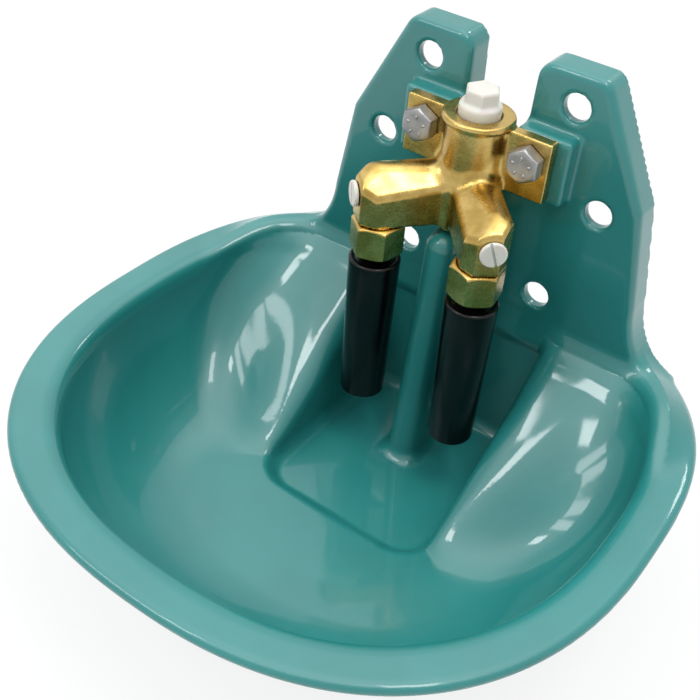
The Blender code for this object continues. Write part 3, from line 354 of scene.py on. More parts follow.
class BowlShape:
    """Field of the enamelled casting: rim, dish, pocket, ridge, back plate, pads and holes."""

    back_reach = 0.145
    front_roundness = 2.33
    back_roundness = 2.8
    floor_z = -0.0685
    floor_y = -0.150
    floor_half_width = 0.072
    floor_half_depth = 0.042
    slope_top_z = 0.012
    rise_run = 0.046
    pocket_floor_z = -0.075
    pocket_corner = 0.018
    slot_half_width = 0.0165
    slot_bottom_z = 0.0895
    centre_y = -0.145
    bottom_z = -0.081
    holes = (0.040, 0.134), (0.062, 0.086), (0.040, 0.028)
    ridge_half_width, ridge_reach, ridge_top_z, ridge_lean = 0.009, 0.058, 0.0645, 0.012 / 0.1425
    pad_low, pad_high = (0.0172, -0.0275, 0.087), (0.046, -0.013, 0.121)
    fillet_turn = math.radians(65)
    table_turns = 1440
    table_reaches = 520

    def __init__(self, settings):
        self.s = settings
        self.dish_tables()
        self.plate = self.plate_outline()

    def rim_point(self, angle, inset):
        across, forward = np.sin(angle), np.cos(angle)
        front = forward >= 0
        reach = np.where(front, self.s.rim_front, self.back_reach) - inset
        power = np.where(front, self.front_roundness, self.back_roundness)
        half_width = self.s.rim_half_width - inset
        size = (np.abs(across) / half_width) ** power + (np.abs(forward) / reach) ** power
        radius = size ** (-1 / power)
        return across * radius, -self.s.rim_middle - forward * radius

    def dish_tables(self):
        """Share of the way from the dish's floor to its rim, for any place in plan, by angle and radius."""
        s = self.s
        angle = np.linspace(0, 2 * math.pi, 721)[:-1]
        fillet = s.band_fillet
        inset = s.band + fillet * math.sin(self.fillet_turn)
        self.wall_sink = fillet * (1 - math.cos(self.fillet_turn))
        back_y = -s.plate_depth + 0.0035
        x, y = self.rim_point(angle, inset)
        limit = back_y - inset + s.band
        pull = np.where(y > limit, (limit + s.rim_middle) / np.where(y > limit, y + s.rim_middle, 1.0), 1.0)
        x, y = x * pull, -s.rim_middle + (y + s.rim_middle) * pull
        soft = np.hanning(43)
        soft /= soft.sum()
        x, y = (np.convolve(np.pad(line, 21, mode="wrap"), soft, mode="valid") for line in (x, y))
        rise = eased((y - back_y) / self.rise_run + 1.5)
        top = s.rim_thickness / 2 + (self.slope_top_z - s.rim_thickness / 2) * rise
        floor_x = self.floor_half_width * np.sin(angle)
        floor_y = self.floor_y - self.floor_half_depth * np.cos(angle)
        power = 2.1 - 1.1 * eased((-np.cos(angle) - 0.15) / 0.60)
        levels = np.linspace(0.0, 1.4, 57)
        turns = np.linspace(-math.pi, math.pi, self.table_turns + 1)
        radius, tops, powers = np.empty((3, len(levels), len(turns)))
        for row, share in enumerate(levels):
            px = floor_x + (x - floor_x) * share
            py = floor_y + (y - floor_y) * share
            turn = np.arctan2(px, -(py - self.centre_y))
            order = np.argsort(turn)
            for table, source in ((radius, np.hypot(px, py - self.centre_y)), (tops, top), (powers, power)):
                table[row] = np.interp(turns, turn[order], source[order], period=2 * math.pi)
        self.reaches = np.linspace(0.0, 0.26, self.table_reaches + 1)
        self.share, self.top, self.power = np.empty((3, len(turns), len(self.reaches)))
        for column in range(len(turns)):
            run = radius[:, column]
            self.share[column] = np.interp(self.reaches, run, levels)
            self.share[column][self.reaches < run[0]] = 0.0
            self.top[column] = np.interp(self.reaches, run, tops[:, column])
            self.power[column] = np.interp(self.reaches, run, powers[:, column])
        step = self.reaches[1]
        across = np.gradient(self.share, step, axis=1)
        around = np.gradient(self.share, turns[1] - turns[0], axis=0) / np.maximum(self.reaches, 0.02)
        self.steep = np.maximum(np.hypot(across, around), 4.0)

    def look_up(self, x, y):
        turn = np.arctan2(x, -(y - self.centre_y))
        reach = np.hypot(x, y - self.centre_y)
        u = np.clip((turn + math.pi) / (2 * math.pi) * self.table_turns, 0, self.table_turns - 0.001)
        v = np.clip(reach / self.reaches[1], 0, len(self.reaches) - 1.001)
        i, j = u.astype(int), v.astype(int)
        fu, fv = u - i, v - j
        found = []
        for table in (self.share, self.top, self.power, self.steep):
            near = table[i, j] * (1 - fv) + table[i, j + 1] * fv
            far = table[i + 1, j] * (1 - fv) + table[i + 1, j + 1] * fv
            found.append(near * (1 - fu) + far * fu)
        return found

    def water(self, x, y, z):
        """The water's room in the dish and the pocket."""
        s = self.s
        share, top, power, steep = self.look_up(x, y)
        top = top - self.wall_sink
        depth = top - self.floor_z
        fall = np.maximum((top - z) / depth, 0.0)
        size = np.maximum(share ** power + fall ** power, 1e-9) ** (1 / power)
        lean_s = np.maximum(share / size, 1e-4) ** (power - 1) * steep
        lean_d = np.maximum(fall / size, 1e-4) ** (power - 1) / depth
        dish = (size - 1) / np.sqrt(lean_s ** 2 + lean_d ** 2)
        dish = np.where(share <= 0, self.floor_z - z, np.maximum(dish, self.floor_z - z))
        half = s.pocket_half_width
        corner = self.pocket_corner
        px = np.abs(x) - (half - corner)
        py = -s.pocket_front + corner - y
        plan = np.hypot(np.maximum(px, 0), np.maximum(py, 0)) + np.minimum(np.maximum(px, py), 0) - corner
        plan = np.maximum(plan, y + s.plate_depth)
        pocket = smooth_keep(plan, self.pocket_floor_z - z, 0.007)
        round_over = 0.006 + 0.008 * np.clip((z - self.floor_z - 0.004) / 0.04, 0, 1)
        return smooth_join(dish, pocket, round_over), top + self.wall_sink

    def rim_distance(self, x, y):
        s = self.s
        forward = -(y + s.rim_middle)
        front = forward >= 0
        reach = np.where(front, s.rim_front, self.back_reach)
        power = np.where(front, self.front_roundness, self.back_roundness)
        u = np.abs(x) / s.rim_half_width
        v = np.abs(forward) / reach
        size = np.maximum(u ** power + v ** power, 1e-9) ** (1 / power)
        lean = np.hypot((u / size) ** (power - 1) / s.rim_half_width, (v / size) ** (power - 1) / reach)
        return (size - 1) / np.maximum(lean, 1e-6)

    def plate_outline(self):
        share = 1 - (self.s.rim_middle / self.back_reach) ** self.back_roundness
        foot_x = self.s.rim_half_width * share ** (1 / self.back_roundness)
        top_z = BOWL_HIGH.z
        low = self.s.rim_thickness / 2
        foot, waist, pull = (foot_x, low), (0.091, 0.043), (0.093, 0.014)
        half = [(foot_x, -low)]
        for i in range(13):
            t = i / 12
            half.append(tuple(
                (1 - t) ** 2 * a + 2 * t * (1 - t) * b + t * t * c for a, b, c in zip(foot, pull, waist)
            ))
        kink, outer, inner = (0.0825, 0.093), (0.053, top_z), (0.0175, top_z)
        slot = self.slot_half_width
        side = (slot, self.slot_bottom_z + slot)
        half.append(kink)
        half += round_corner(kink, outer, inner, 0.009)
        half += round_corner(outer, inner, side, 0.009)
        half += arc((0.0, side[1]), slot, 0, -90, 12)
        return half + [(-x, v) for x, v in reversed(half) if x > 1e-6]

    def __call__(self, x, y, z):
        s = self.s
        x = np.abs(x)
        water, top = self.water(x, y, z)
        rim = self.rim_distance(x, y)
        half = s.rim_thickness / 2
        band_share = np.clip(-rim / s.band, 0, 1)
        over = z - (half + (top - half) * band_share)
        slab = smooth_keep(smooth_keep(rim, y + 0.0005, 0.001), -half - z, 0.0045)
        shell = np.maximum(smooth_keep(water - s.wall, self.bottom_z - z, 0.003), y + 0.002)
        casting = smooth_keep(smooth_join(slab, shell, 0.006), over, 0.0045)
        casting = smooth_cut(casting, water, s.band_fillet * 1.1)
        outline = outline_field(self.plate, x, z)
        plate = smooth_keep(outline, -s.plate_depth - y, s.edge)
        plate = smooth_keep(plate, y, 0.0006)
        pan = smooth_keep(outline + s.wall, -s.plate_depth + 0.007 - y, 0.003)
        plate = smooth_cut(plate, pan, 0.001)
        casting = smooth_join(casting, plate, s.crease)
        nose = slanted(-(y + self.ridge_reach), z - self.ridge_top_z, self.ridge_lean)
        ridge = smooth_keep(smooth_keep(x - self.ridge_half_width, nose, 0.010), z - self.ridge_top_z, 0.008)
        ridge = np.maximum(ridge, np.maximum(y + 0.015, -0.078 - z))
        casting = smooth_join(casting, ridge, 0.005)
        casting = smooth_join(casting, box_field(x, y, z, self.pad_low, self.pad_high, 0.0022), 0.0025)
        for hx, hz in self.holes:
            casting = smooth_cut(casting, np.hypot(x - hx, z - hz) - s.hole, 0.0022)
        casting = smooth_cut(casting, np.hypot(x - SCREW_X, z - SCREW_Z) - 0.0053, 0.0006)
        return smooth_keep(casting, y, 0.0004)


class ValveShape:
    """Field of the brass casting: hub, bead, lugs, two arms with a roof of four planes, spigots and bores."""

    angle = math.radians(40.6)
    end = 0.0556
    top_z = 0.0964
    bottom_z = 0.069
    inner, outer = 0.0101, 0.0122
    lug_low, lug_high = (0.004, -0.0344, 0.090), (0.0395, -0.0278, 0.121)
    screw_across, screw_z = 0.0026, 0.0825
    bead_radius, bead_half = 0.0178, 0.0019

    def __init__(self, settings):
        self.s = settings
        self.outline = [
            (-0.004, -self.inner), (0.0490, -self.inner), (self.end, -0.0052), (self.end, 0.0068),
            (0.0470, 0.0128), (0.0360, self.outer), (-0.004, self.outer),
        ]

    def along_across(self, x, y):
        sin, cos = math.sin(self.angle), math.cos(self.angle)
        return x * sin - (y - HUB_Y) * cos, x * cos + (y - HUB_Y) * sin

    def arm(self, x, y, z):
        along, across = self.along_across(x, y)
        plan = outline_field(self.outline, along, across)
        top = z - self.top_z
        nose = slanted(top, along - 0.0465, 0.60)
        lean = math.sqrt(1 + 0.12 ** 2 + 0.75 ** 2)
        inner = (z - 0.0900 + 0.12 * (along - 0.0155) - 0.75 * (across + self.inner)) / lean
        outer = slanted(top, across - 0.0085, 0.62)
        soft = self.s.edge
        roof = smooth_keep(smooth_keep(smooth_keep(top, nose, soft), inner, soft), outer, soft)
        return smooth_keep(smooth_keep(plan, roof, soft), self.bottom_z - z, 0.0012)

    def __call__(self, x, y, z):
        s = self.s
        arms = smooth_join(self.arm(x, y, z), self.arm(-x, y, z), s.crotch_fillet)
        x = np.abs(x)
        reach = np.hypot(x, y - HUB_Y)
        top = VALVE_HIGH.z
        hub = smooth_keep(reach - 0.0155, np.maximum(z - top + 0.0012, self.bottom_z - z), 0.001)
        valve = smooth_join(hub, arms, s.root_fillet)
        valve = smooth_join(valve, box_field(x, y, z, self.lug_low, self.lug_high, 0.0007), 0.0035)
        bead = smooth_keep(reach - self.bead_radius, np.abs(z - top + self.bead_half) - self.bead_half, 0.0018)
        valve = smooth_join(valve, bead, 0.0012)
        to_tube = np.hypot(x - TUBE_X, y - TUBE_Y)
        spigot = smooth_keep(to_tube - 0.010, between(z, 0.0645, 0.071), 0.0006)
        valve = np.minimum(valve, spigot)
        valve = smooth_cut(valve, np.maximum(reach - 0.0108, 0.1065 - z), 0.0008)
        valve = np.maximum(valve, -np.maximum(reach - 0.0062, 0.076 - z))
        valve = np.maximum(valve, -np.maximum(to_tube - 0.0065, z - 0.0862))
        along, across = self.along_across(x, y)
        lift = np.hypot(across - self.screw_across, z - self.screw_z)
        valve = smooth_cut(valve, np.maximum(lift - 0.0056, self.end - 0.0017 - along), 0.0005)
        valve = np.maximum(valve, -np.maximum(lift - 0.0035, 0.0475 - along))
        return smooth_cut(valve, np.hypot(x - SCREW_X, z - SCREW_Z) - 0.0055, 0.0006)


def hexagon_field(x, y, flats):
    """Distance from a hexagon with two flats across y."""
    x, y = np.abs(x), np.abs(y)
    return np.maximum(y, x * math.cos(math.pi / 6) + y * 0.5) - flats / 2


class NutShape:
    """Field of a union nut about its own axis: chamfered hexagon, wide bore and narrower mouth."""

    flats = 0.024
    bore, mouth = 0.0103, 0.0094
    half = (NUT_HIGH.z - NUT_LOW.z) / 2

    def __call__(self, x, y, z):
        reach = np.hypot(x, y)
        corner = self.flats / 2 / math.cos(math.pi / 6)
        end = np.abs(z) - self.half
        body = smooth_keep(hexagon_field(x, y, self.flats), end, 0.0008)
        body = smooth_keep(body, slanted(end, reach - corner + 0.0021, 0.6), 0.0007)
        mouth = smooth_join(np.maximum(reach - self.bore, -0.0035 - z), reach - self.mouth, 0.001)
        return smooth_cut(body, mouth, 0.0006)


class BoltShape:
    """Field of a lug screw, local z out of the wall: hexagon head with a turned crown, and shank."""

    flats, half_height, crown, radius = 0.0158, 0.0038, 0.0073, 0.005

    def __call__(self, x, y, z):
        reach = np.hypot(x, y)
        top = z - HEAD_FACE
        under = -BOLT_LOW.y - 0.0064
        head = smooth_keep(
            hexagon_field(x, y, self.flats), np.abs(top + self.half_height) - self.half_height, 0.0006
        )
        head = smooth_keep(head, slanted(top, reach - self.crown, 0.62), 0.0009)
        shank = smooth_keep(reach - self.radius, np.maximum(-BOLT_HIGH.y - z, z - under - 0.002), 0.0008)
        return smooth_join(head, shank, 0.0004)


class PlugShape:
    """Field of the transport plug above the inlet: round shoulder, softly rounded six-sided head."""

    seated = 0.0022
    radius, flats = 0.01035, 0.0152

    def __call__(self, x, y, z):
        reach = np.hypot(x, y)
        high = PLUG_HIGH.z - self.seated
        shoulder = VALVE_HIGH.z + 0.0075 - self.seated
        barrel = smooth_keep(reach - self.radius, between(z, PLUG_LOW.z, shoulder), 0.0022)
        head = smooth_keep(hexagon_field(x, y, self.flats), z - high, 0.0020)
        head = np.maximum(head, VALVE_HIGH.z + 0.003 - z)
        plug = smooth_join(barrel, head, 0.0018)
        hollow = smooth_keep(reach - 0.0078, z - shoulder + 0.004, 0.001)
        return smooth_cut(plug, hollow, 0.0006)


class ThrottleShape:
    """Field of a flow screw, local z out along the arm: slotted pan head and shank."""

    head_radius, shank_radius, slot_half_width = 0.0065, 0.0032, 0.0006

    def __call__(self, x, y, z):
        reach = np.hypot(x, y)
        head = smooth_keep(reach - self.head_radius, between(z, 0.0003, 0.0026), 0.0010)
        slot = smooth_keep(np.abs(y) - self.slot_half_width, 0.0011 - z, 0.0003)
        head = smooth_cut(head, slot, 0.0005)
        shank = np.maximum(reach - self.shank_radius, between(z, -0.0052, 0.001))
        return np.minimum(head, shank)


def node(tree, kind, links=(), **values):
    """Add a node, set its properties or inputs by name, and link its inputs to sockets or give them values."""
    made = tree.nodes.new(kind)
    for key, value in values.items():
        if hasattr(made, key):
            setattr(made, key, value)
        else:
            made.inputs[key.replace("_", " ")].default_value = value
    for where, source in links:
        if isinstance(source, bpy.types.NodeSocket):
            tree.links.new(source, made.inputs[where])
        else:
            made.inputs[where].default_value = source
    return made


def maths(tree, operation, a, b):
    """Output of a maths node on two sockets or numbers."""
    return node(tree, "ShaderNodeMath", [(0, a), (1, b)], operation=operation).outputs[0]


def soft_step(tree, value, kind="SMOOTHSTEP", **ends):
    """Output of a node that maps a value to another range, eased at both ends."""
    return node(tree, "ShaderNodeMapRange", [("Value", value)], interpolation_type=kind, **ends).outputs[0]


def new_tree(name, kind, inputs, outputs):
    """A node tree with sockets of these names and kinds, and the outputs of its input node."""
    tree = bpy.data.node_groups.new(name, kind)
    for way, rows in (("OUTPUT", outputs), ("INPUT", inputs)):
        for title, short in rows.items():
            tree.interface.new_socket(name=title, in_out=way, socket_type=f"NodeSocket{short}")
    return tree, node(tree, "NodeGroupInput").outputs


def uneven_group():
    """Shader group: fine unevenness of a surface, as a height and as a soft mask of patches."""
    scales = dict.fromkeys(("Patch Scale", "Grain Scale", "Grain Share"), "Float")
    results = dict.fromkeys(("Height", "Patches", "Grain"), "Float")
    tree, given = new_tree("uneven_surface", "ShaderNodeTree", scales, results)
    place = node(tree, "ShaderNodeTexCoord").outputs["Object"]
    patch, grain = (
        node(tree, "ShaderNodeTexNoise", [("Vector", place), ("Scale", given[scale])], Detail=detail).outputs[0]
        for scale, detail in (("Patch Scale", 3.0), ("Grain Scale", 4.0))
    )
    mix = node(tree, "ShaderNodeMix", [(0, given["Grain Share"]), (2, patch), (3, grain)])
    soft = soft_step(tree, patch, From_Min=0.35, From_Max=0.65)
    node(tree, "NodeGroupOutput", [("Height", mix.outputs[0]), ("Patches", soft), ("Grain", grain)])
    return tree


def new_material(name):
    """A material with its Principled shader."""
    material = bpy.data.materials.new(name)
    material.use_nodes = True
    return material, material.node_tree, material.node_tree.nodes["Principled BSDF"]


def finish(name, colours, roughness, metallic=0.0, patch=20.0, grain=600.0, share=0.5, bump=0.0001, rest=None):
    """A procedural material: two colours in soft patches, roughness between two values, and a bump."""
    material, tree, shader = new_material(name)
    rough = node(
        tree, "ShaderNodeGroup", node_tree=bpy.data.node_groups.get("uneven_surface") or uneven_group(),
        Patch_Scale=patch, Grain_Scale=grain, Grain_Share=share,
    ).outputs
    ramp = node(
        tree, "ShaderNodeMix", [(0, rough["Patches"]), (6, (*colours[0], 1)), (7, (*colours[1], 1))], data_type="RGBA"
    )
    spread = node(
        tree, "ShaderNodeMapRange", [("Value", rough["Grain"])], To_Min=roughness[0], To_Max=roughness[1]
    )
    relief = node(tree, "ShaderNodeBump", [("Height", rough["Height"])], Distance=bump, Strength=1.0)
    found = {"Base Color": ramp.outputs[2], "Roughness": spread.outputs[0], "Normal": relief.outputs[0]}
    for where, source in found.items():
        tree.links.new(source, shader.inputs[where])
    for where, value in {"Metallic": metallic, **(rest or {})}.items():
        shader.inputs[where].default_value = value
    return material


# Finishes: two colours, roughness from and to, metallic, scale of patches and grain, grain's share, bump, the rest
FINISH_ROWS = {
    "brass": (((0.46, 0.31, 0.085), (0.64, 0.46, 0.160)), (0.22, 0.34), 1.0, 90, 700, 0.5, 0.0001),
    "zinc": (((0.36, 0.355, 0.36), (0.47, 0.46, 0.45)), (0.35, 0.6), 1.0, 160, 1800, 0.7, 0.0001),
    "white_plastic": (
        ((0.68, 0.67, 0.61), (0.75, 0.74, 0.68)), (0.30, 0.42), 0, 60, 900, 0.4, 0.00004,
        {"Subsurface Weight": 0.35, "Subsurface Scale": 0.004},
    ),
    "black_plastic": (
        ((0.0022, 0.0024, 0.0030), (0.0032, 0.0035, 0.0042)), (0.16, 0.26), 0, 50, 500, 0.4, 0.00003,
        {"Specular IOR Level": 0.3},
    ),
    "stainless": (((0.50, 0.50, 0.49), (0.60, 0.60, 0.59)), (0.25, 0.4), 1.0),
    "rubber": (((0.014, 0.014, 0.014), (0.022, 0.022, 0.022)), (0.65, 0.85)),
}


def make_finishes(s):
    """Every finish of the drinker, by the name of its slot."""
    enamel = (tuple(0.90 * c for c in s.enamel), tuple(s.enamel))
    gloss = {"Coat Weight": 0.7, "Coat Roughness": 0.06, "Specular IOR Level": 0.5}
    rows = {"enamel": (enamel, (0.30, 0.42), 0.0, 16, 90, 0.6, 0.0003, gloss), **FINISH_ROWS}
    return {name: finish(name, *row) for name, row in rows.items()}


FINISHES = {}


def dress(piece, slot, body, *nodes):
    """Give a piece its finish and its body, and let it stand for CAD nodes."""
    piece.data.materials.clear()
    piece.data.materials.append(FINISHES[slot])
    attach(piece, body)
    if nodes:
        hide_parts(*nodes)


def grown_tree(name, inputs):
    """A Geometry Nodes tree with these inputs and a material, and the outputs of its input node."""
    return new_tree(name, "GeometryNodeTree", {**inputs, "Material": "Material"}, {"Geometry": "Geometry"})


def end_tree(tree, given, geometry):
    """End a Geometry Nodes tree in real, smooth geometry of the given material."""
    real = node(tree, "GeometryNodeRealizeInstances", [("Geometry", geometry)])
    smooth = node(tree, "GeometryNodeSetShadeSmooth", [("Geometry", real.outputs[0])])
    coat = node(tree, "GeometryNodeSetMaterial", [("Geometry", smooth.outputs[0]), ("Material", given["Material"])])
    node(tree, "NodeGroupOutput", [("Geometry", coat.outputs[0])])
    return tree


def turned_tree():
    """Geometry Nodes tree: turns a profile curve about the vertical through the object's origin."""
    tree, given = grown_tree("turned_piece", {"Profile": "Object", "Radius": "Float", "Steps": "Int"})
    shape = node(tree, "GeometryNodeObjectInfo", [("Object", given["Profile"])])
    ring = node(tree, "GeometryNodeCurvePrimitiveCircle", [
        ("Resolution", given["Steps"]), ("Radius", given["Radius"]),
    ])
    skin = node(tree, "GeometryNodeCurveToMesh", [
        ("Curve", ring.outputs["Curve"]), ("Profile Curve", shape.outputs["Geometry"]),
    ])
    return end_tree(tree, given, skin.outputs[0])


def marks_tree():
    """Geometry Nodes tree: small raised bars spread evenly round a circle."""
    tree, given = grown_tree("head_marks", {
        "Circle": "Float", "Count": "Int", "Bar Length": "Float", "Bar Radius": "Float",
    })
    ring = node(tree, "GeometryNodeMeshCircle", [("Vertices", given["Count"]), ("Radius", given["Circle"])])
    half = maths(tree, "MULTIPLY", given["Bar Length"], 0.5)
    ends = [
        node(tree, "ShaderNodeCombineXYZ", [("X", x)]).outputs[0] for x in (maths(tree, "MULTIPLY", half, -1.0), half)
    ]
    line = node(tree, "GeometryNodeCurvePrimitiveLine", [("Start", ends[0]), ("End", ends[1])])
    dense = node(tree, "GeometryNodeResampleCurve", [("Curve", line.outputs[0])], Count=9)
    section = node(tree, "GeometryNodeCurvePrimitiveCircle", [("Radius", given["Bar Radius"])], Resolution=12)
    share = node(tree, "GeometryNodeSplineParameter")
    bow = maths(tree, "PINGPONG", share.outputs["Factor"], 0.5)
    taper = soft_step(tree, bow, "SMOOTHERSTEP", From_Max=0.25, To_Min=0.15)
    swell = node(tree, "GeometryNodeSetCurveRadius", [("Curve", dense.outputs[0]), ("Radius", taper)])
    bar = node(tree, "GeometryNodeCurveToMesh", [
        ("Curve", swell.outputs[0]), ("Profile Curve", section.outputs["Curve"]),
        ("Scale", taper), ("Fill Caps", True),
    ])
    spot = node(tree, "GeometryNodeInputPosition")
    aim = node(tree, "FunctionNodeAlignRotationToVector", [("Vector", spot.outputs[0])], axis="X")
    many = node(tree, "GeometryNodeInstanceOnPoints", [
        ("Points", ring.outputs["Mesh"]), ("Instance", bar.outputs[0]), ("Rotation", aim.outputs[0]),
    ])
    return end_tree(tree, given, many.outputs[0])


def grown(name, tree, values):
    """A mesh object made by a Geometry Nodes tree with these inputs, as a plain mesh."""
    obj = link_object(name, bpy.data.meshes.new(name))
    step = obj.modifiers.new("nodes", "NODES")
    step.node_group = tree
    for item in tree.interface.items_tree:
        if item.item_type == "SOCKET" and item.in_out == "INPUT" and item.name in values:
            step[item.identifier] = values[item.name]
    return baked(obj)


class DRINKER_OT_bowl(bpy.types.Operator):
    """Cast the enamelled bowl with its back plate"""

    bl_idname = "drinker.bowl"
    bl_label = "Bowl"

    def execute(self, context):
        s = context.scene.drinker_bowl
        cell = s.cell
        bowl = cast_whole("bowl_casting", BowlShape(s), BOWL_LOW, BOWL_HIGH, cell, s.keep)
        dress(bowl, "enamel", "drinker", "bowl")
        return {"FINISHED"}


class DRINKER_OT_finishes(bpy.types.Operator):
    """Make the finishes and give them to the inner pieces that keep their own mesh"""

    bl_idname = "drinker.finishes"
    bl_label = "Finishes"

    def execute(self, context):
        FINISHES.update(make_finishes(context.scene.drinker_bowl))
        slots = {part["node"]: part["material_slot"] for part in frame["record"]["subparts"]}
        for name, obj in frame["nodes"].items():
            for slot in obj.material_slots:
                slot.material = FINISHES[slots[name]]
        return {"FINISHED"}


class DRINKER_OT_valve(bpy.types.Operator):
    """Cast the brass valve body and its union nuts"""

    bl_idname = "drinker.valve"
    bl_label = "Valve"

    def execute(self, context):
        s = context.scene.drinker_valve
        cell = s.cell
        valve = cast_whole("valve_casting", ValveShape(s), VALVE_LOW, VALVE_HIGH, cell)
        dress(valve, "brass", "drinker", "valve_body")
        middle = (NUT_LOW.z + NUT_HIGH.z) / 2
        half = (NUT_HIGH.z - NUT_LOW.z) / 2 + 0.001
        for label, side in SIDES:
            place = Matrix.Translation((side * TUBE_X, TUBE_Y, middle))
            place = place @ Matrix.Rotation(side * ValveShape.angle, 4, "Z")
            nut = cast_round(f"{label}_nut", NutShape(), 0.015, -half, half, s.small_cell, place, 0.5)
            dress(nut, "brass", "drinker", f"{label}_union_nut")
        return {"FINISHED"}


class DRINKER_OT_tubes(bpy.types.Operator):
    """Turn the two push tubes"""

    bl_idname = "drinker.tubes"
    bl_label = "Tubes"

    def execute(self, context):
        s = context.scene.drinker_tubes
        pivot, top, bottom = 0.059, 0.047, TUBE_LOW.z
        profile = arc((0, pivot), 0.0083, 37, -44, 18)
        profile += [(0.0060, top + 0.0010), (0.0066, top + 0.0001)]
        profile += arc((0.0105, top + 0.0012), 0.0022, -125, -95, 3)
        profile += arc((s.top_radius - 0.0013, top - 0.0013), 0.0013, 115, 0, 9)
        profile += [(s.top_radius - 0.00012, top - 0.004), (s.top_radius - 0.00018, top - 0.012)]
        profile += arc((s.bottom_radius - 0.0014, bottom + 0.0014), 0.0014, 0, -90, 9)
        bore = s.bottom_radius - s.wall
        profile += arc((bore + 0.001, bottom + 0.001), 0.001, 270, 180, 5)
        profile += [(bore, top - 0.008), (0.0035, top - 0.0045), (0.0035, pivot + 0.005)]
        tree = turned_tree()
        for label, side in SIDES:
            curve = bpy.data.curves.new("tube_profile", "CURVE")
            curve.dimensions = "3D"
            line = curve.splines.new("POLY")
            line.points.add(len(profile) - 1)
            for point, (radius, height) in zip(line.points, profile):
                point.co = (radius - s.top_radius, -height, 0, 1)
            line.use_cyclic_u = True
            guide = link_object("tube_profile", curve)
            tube = grown(f"{label}_tube", tree, {
                "Profile": guide, "Radius": s.top_radius, "Steps": 96, "Material": FINISHES["black_plastic"],
            })
            bpy.data.objects.remove(guide)
            shape = bmesh.new()
            shape.from_mesh(tube.data)
            bmesh.ops.remove_doubles(shape, verts=shape.verts, dist=1e-6)
            bmesh.ops.recalc_face_normals(shape, faces=shape.faces)
            shape.to_mesh(tube.data)
            shape.free()
            tube.data.shade_smooth()
            tube.data.set_sharp_from_angle(angle=math.radians(50))
            tube.data.transform(Matrix.Translation((side * TUBE_X, TUBE_Y, 0)))
            dress(tube, "black_plastic", f"{label}_tube", f"{label}_drink_tube")
        return {"FINISHED"}


class DRINKER_OT_fasteners(bpy.types.Operator):
    """Make the lug screws, the flow screws and the inlet's transport plug"""

    bl_idname = "drinker.fasteners"
    bl_label = "Screws and plug"

    def execute(self, context):
        s = context.scene.drinker_valve
        x, z = (BOLT_LOW.x + BOLT_HIGH.x) / 2, (BOLT_LOW.z + BOLT_HIGH.z) / 2
        tree = marks_tree()
        for label, side in SIDES:
            place = Matrix.Translation((side * x, 0, z)) @ Matrix.Rotation(math.pi / 2, 4, "X")
            turn = place @ Matrix.Rotation(math.radians(s.bolt_turn) + math.pi / 2, 4, "Z")
            bolt = cast_round(
                f"{label}_screw", BoltShape(), 0.011, -BOLT_HIGH.y - 0.001, HEAD_FACE + 0.001, s.small_cell, turn, 0.6
            )
            dress(bolt, "zinc", "drinker", f"{label}_lug_bolt")
            marks = grown(f"{label}_screw_marks", tree, {
                "Circle": 0.0044, "Count": 5, "Bar Length": 0.0024, "Bar Radius": 0.00075,
                "Material": FINISHES["zinc"],
            })
            marks.data.transform(turn @ Matrix.Translation((0, 0, HEAD_FACE - 0.0001)))
            dress(marks, "zinc", "drinker")
            along = Vector((side * math.sin(ValveShape.angle), -math.cos(ValveShape.angle), 0))
            across = UP.cross(along)
            foot = Vector((0, HUB_Y, ValveShape.screw_z)) + along * ValveShape.end
            foot += across * side * ValveShape.screw_across
            turn = Matrix((across, UP, along)).transposed().to_4x4()
            tilt = Matrix.Rotation(math.radians(s.slot_turn), 4, "Z")
            screw = cast_round(
                f"{label}_flow_screw", ThrottleShape(), 0.0085, -0.006, 0.0035, 0.0003,
                Matrix.Translation(foot) @ turn @ tilt, 0.6,
            )
            dress(screw, "white_plastic", f"{label}_throttle", f"{label}_throttle_screw")
        plug = cast_round(
            "transport_plug", PlugShape(), 0.0115, PLUG_LOW.z - 0.001, PLUG_HIGH.z + 0.001, s.small_cell,
            Matrix.Translation((0, HUB_Y, 0)), 0.6,
        )
        dress(plug, "white_plastic", "plug", "inlet_plug")
        return {"FINISHED"}


class DRINKER_OT_springs(bpy.types.Operator):
    """Give each return spring a stainless copy of its coil as a mesh of its own"""

    bl_idname = "drinker.springs"
    bl_label = "Return springs"

    def execute(self, context):
        for label, side in SIDES:
            name = f"{label}_return_spring"
            source = frame["nodes"][name]
            coil = link_object(f"{label}_coil", source.data.copy())
            coil.data.transform(source.matrix_world)
            dress(coil, "stainless", "drinker", name)
            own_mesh(coil)
        return {"FINISHED"}


def seen_directly(tree):
    """The light path's outputs, and a value that is 1 for rays from the camera or through a clear surface."""
    path = node(tree, "ShaderNodeLightPath").outputs
    return path, maths(tree, "MAXIMUM", path["Is Camera Ray"], path["Is Transmission Ray"])


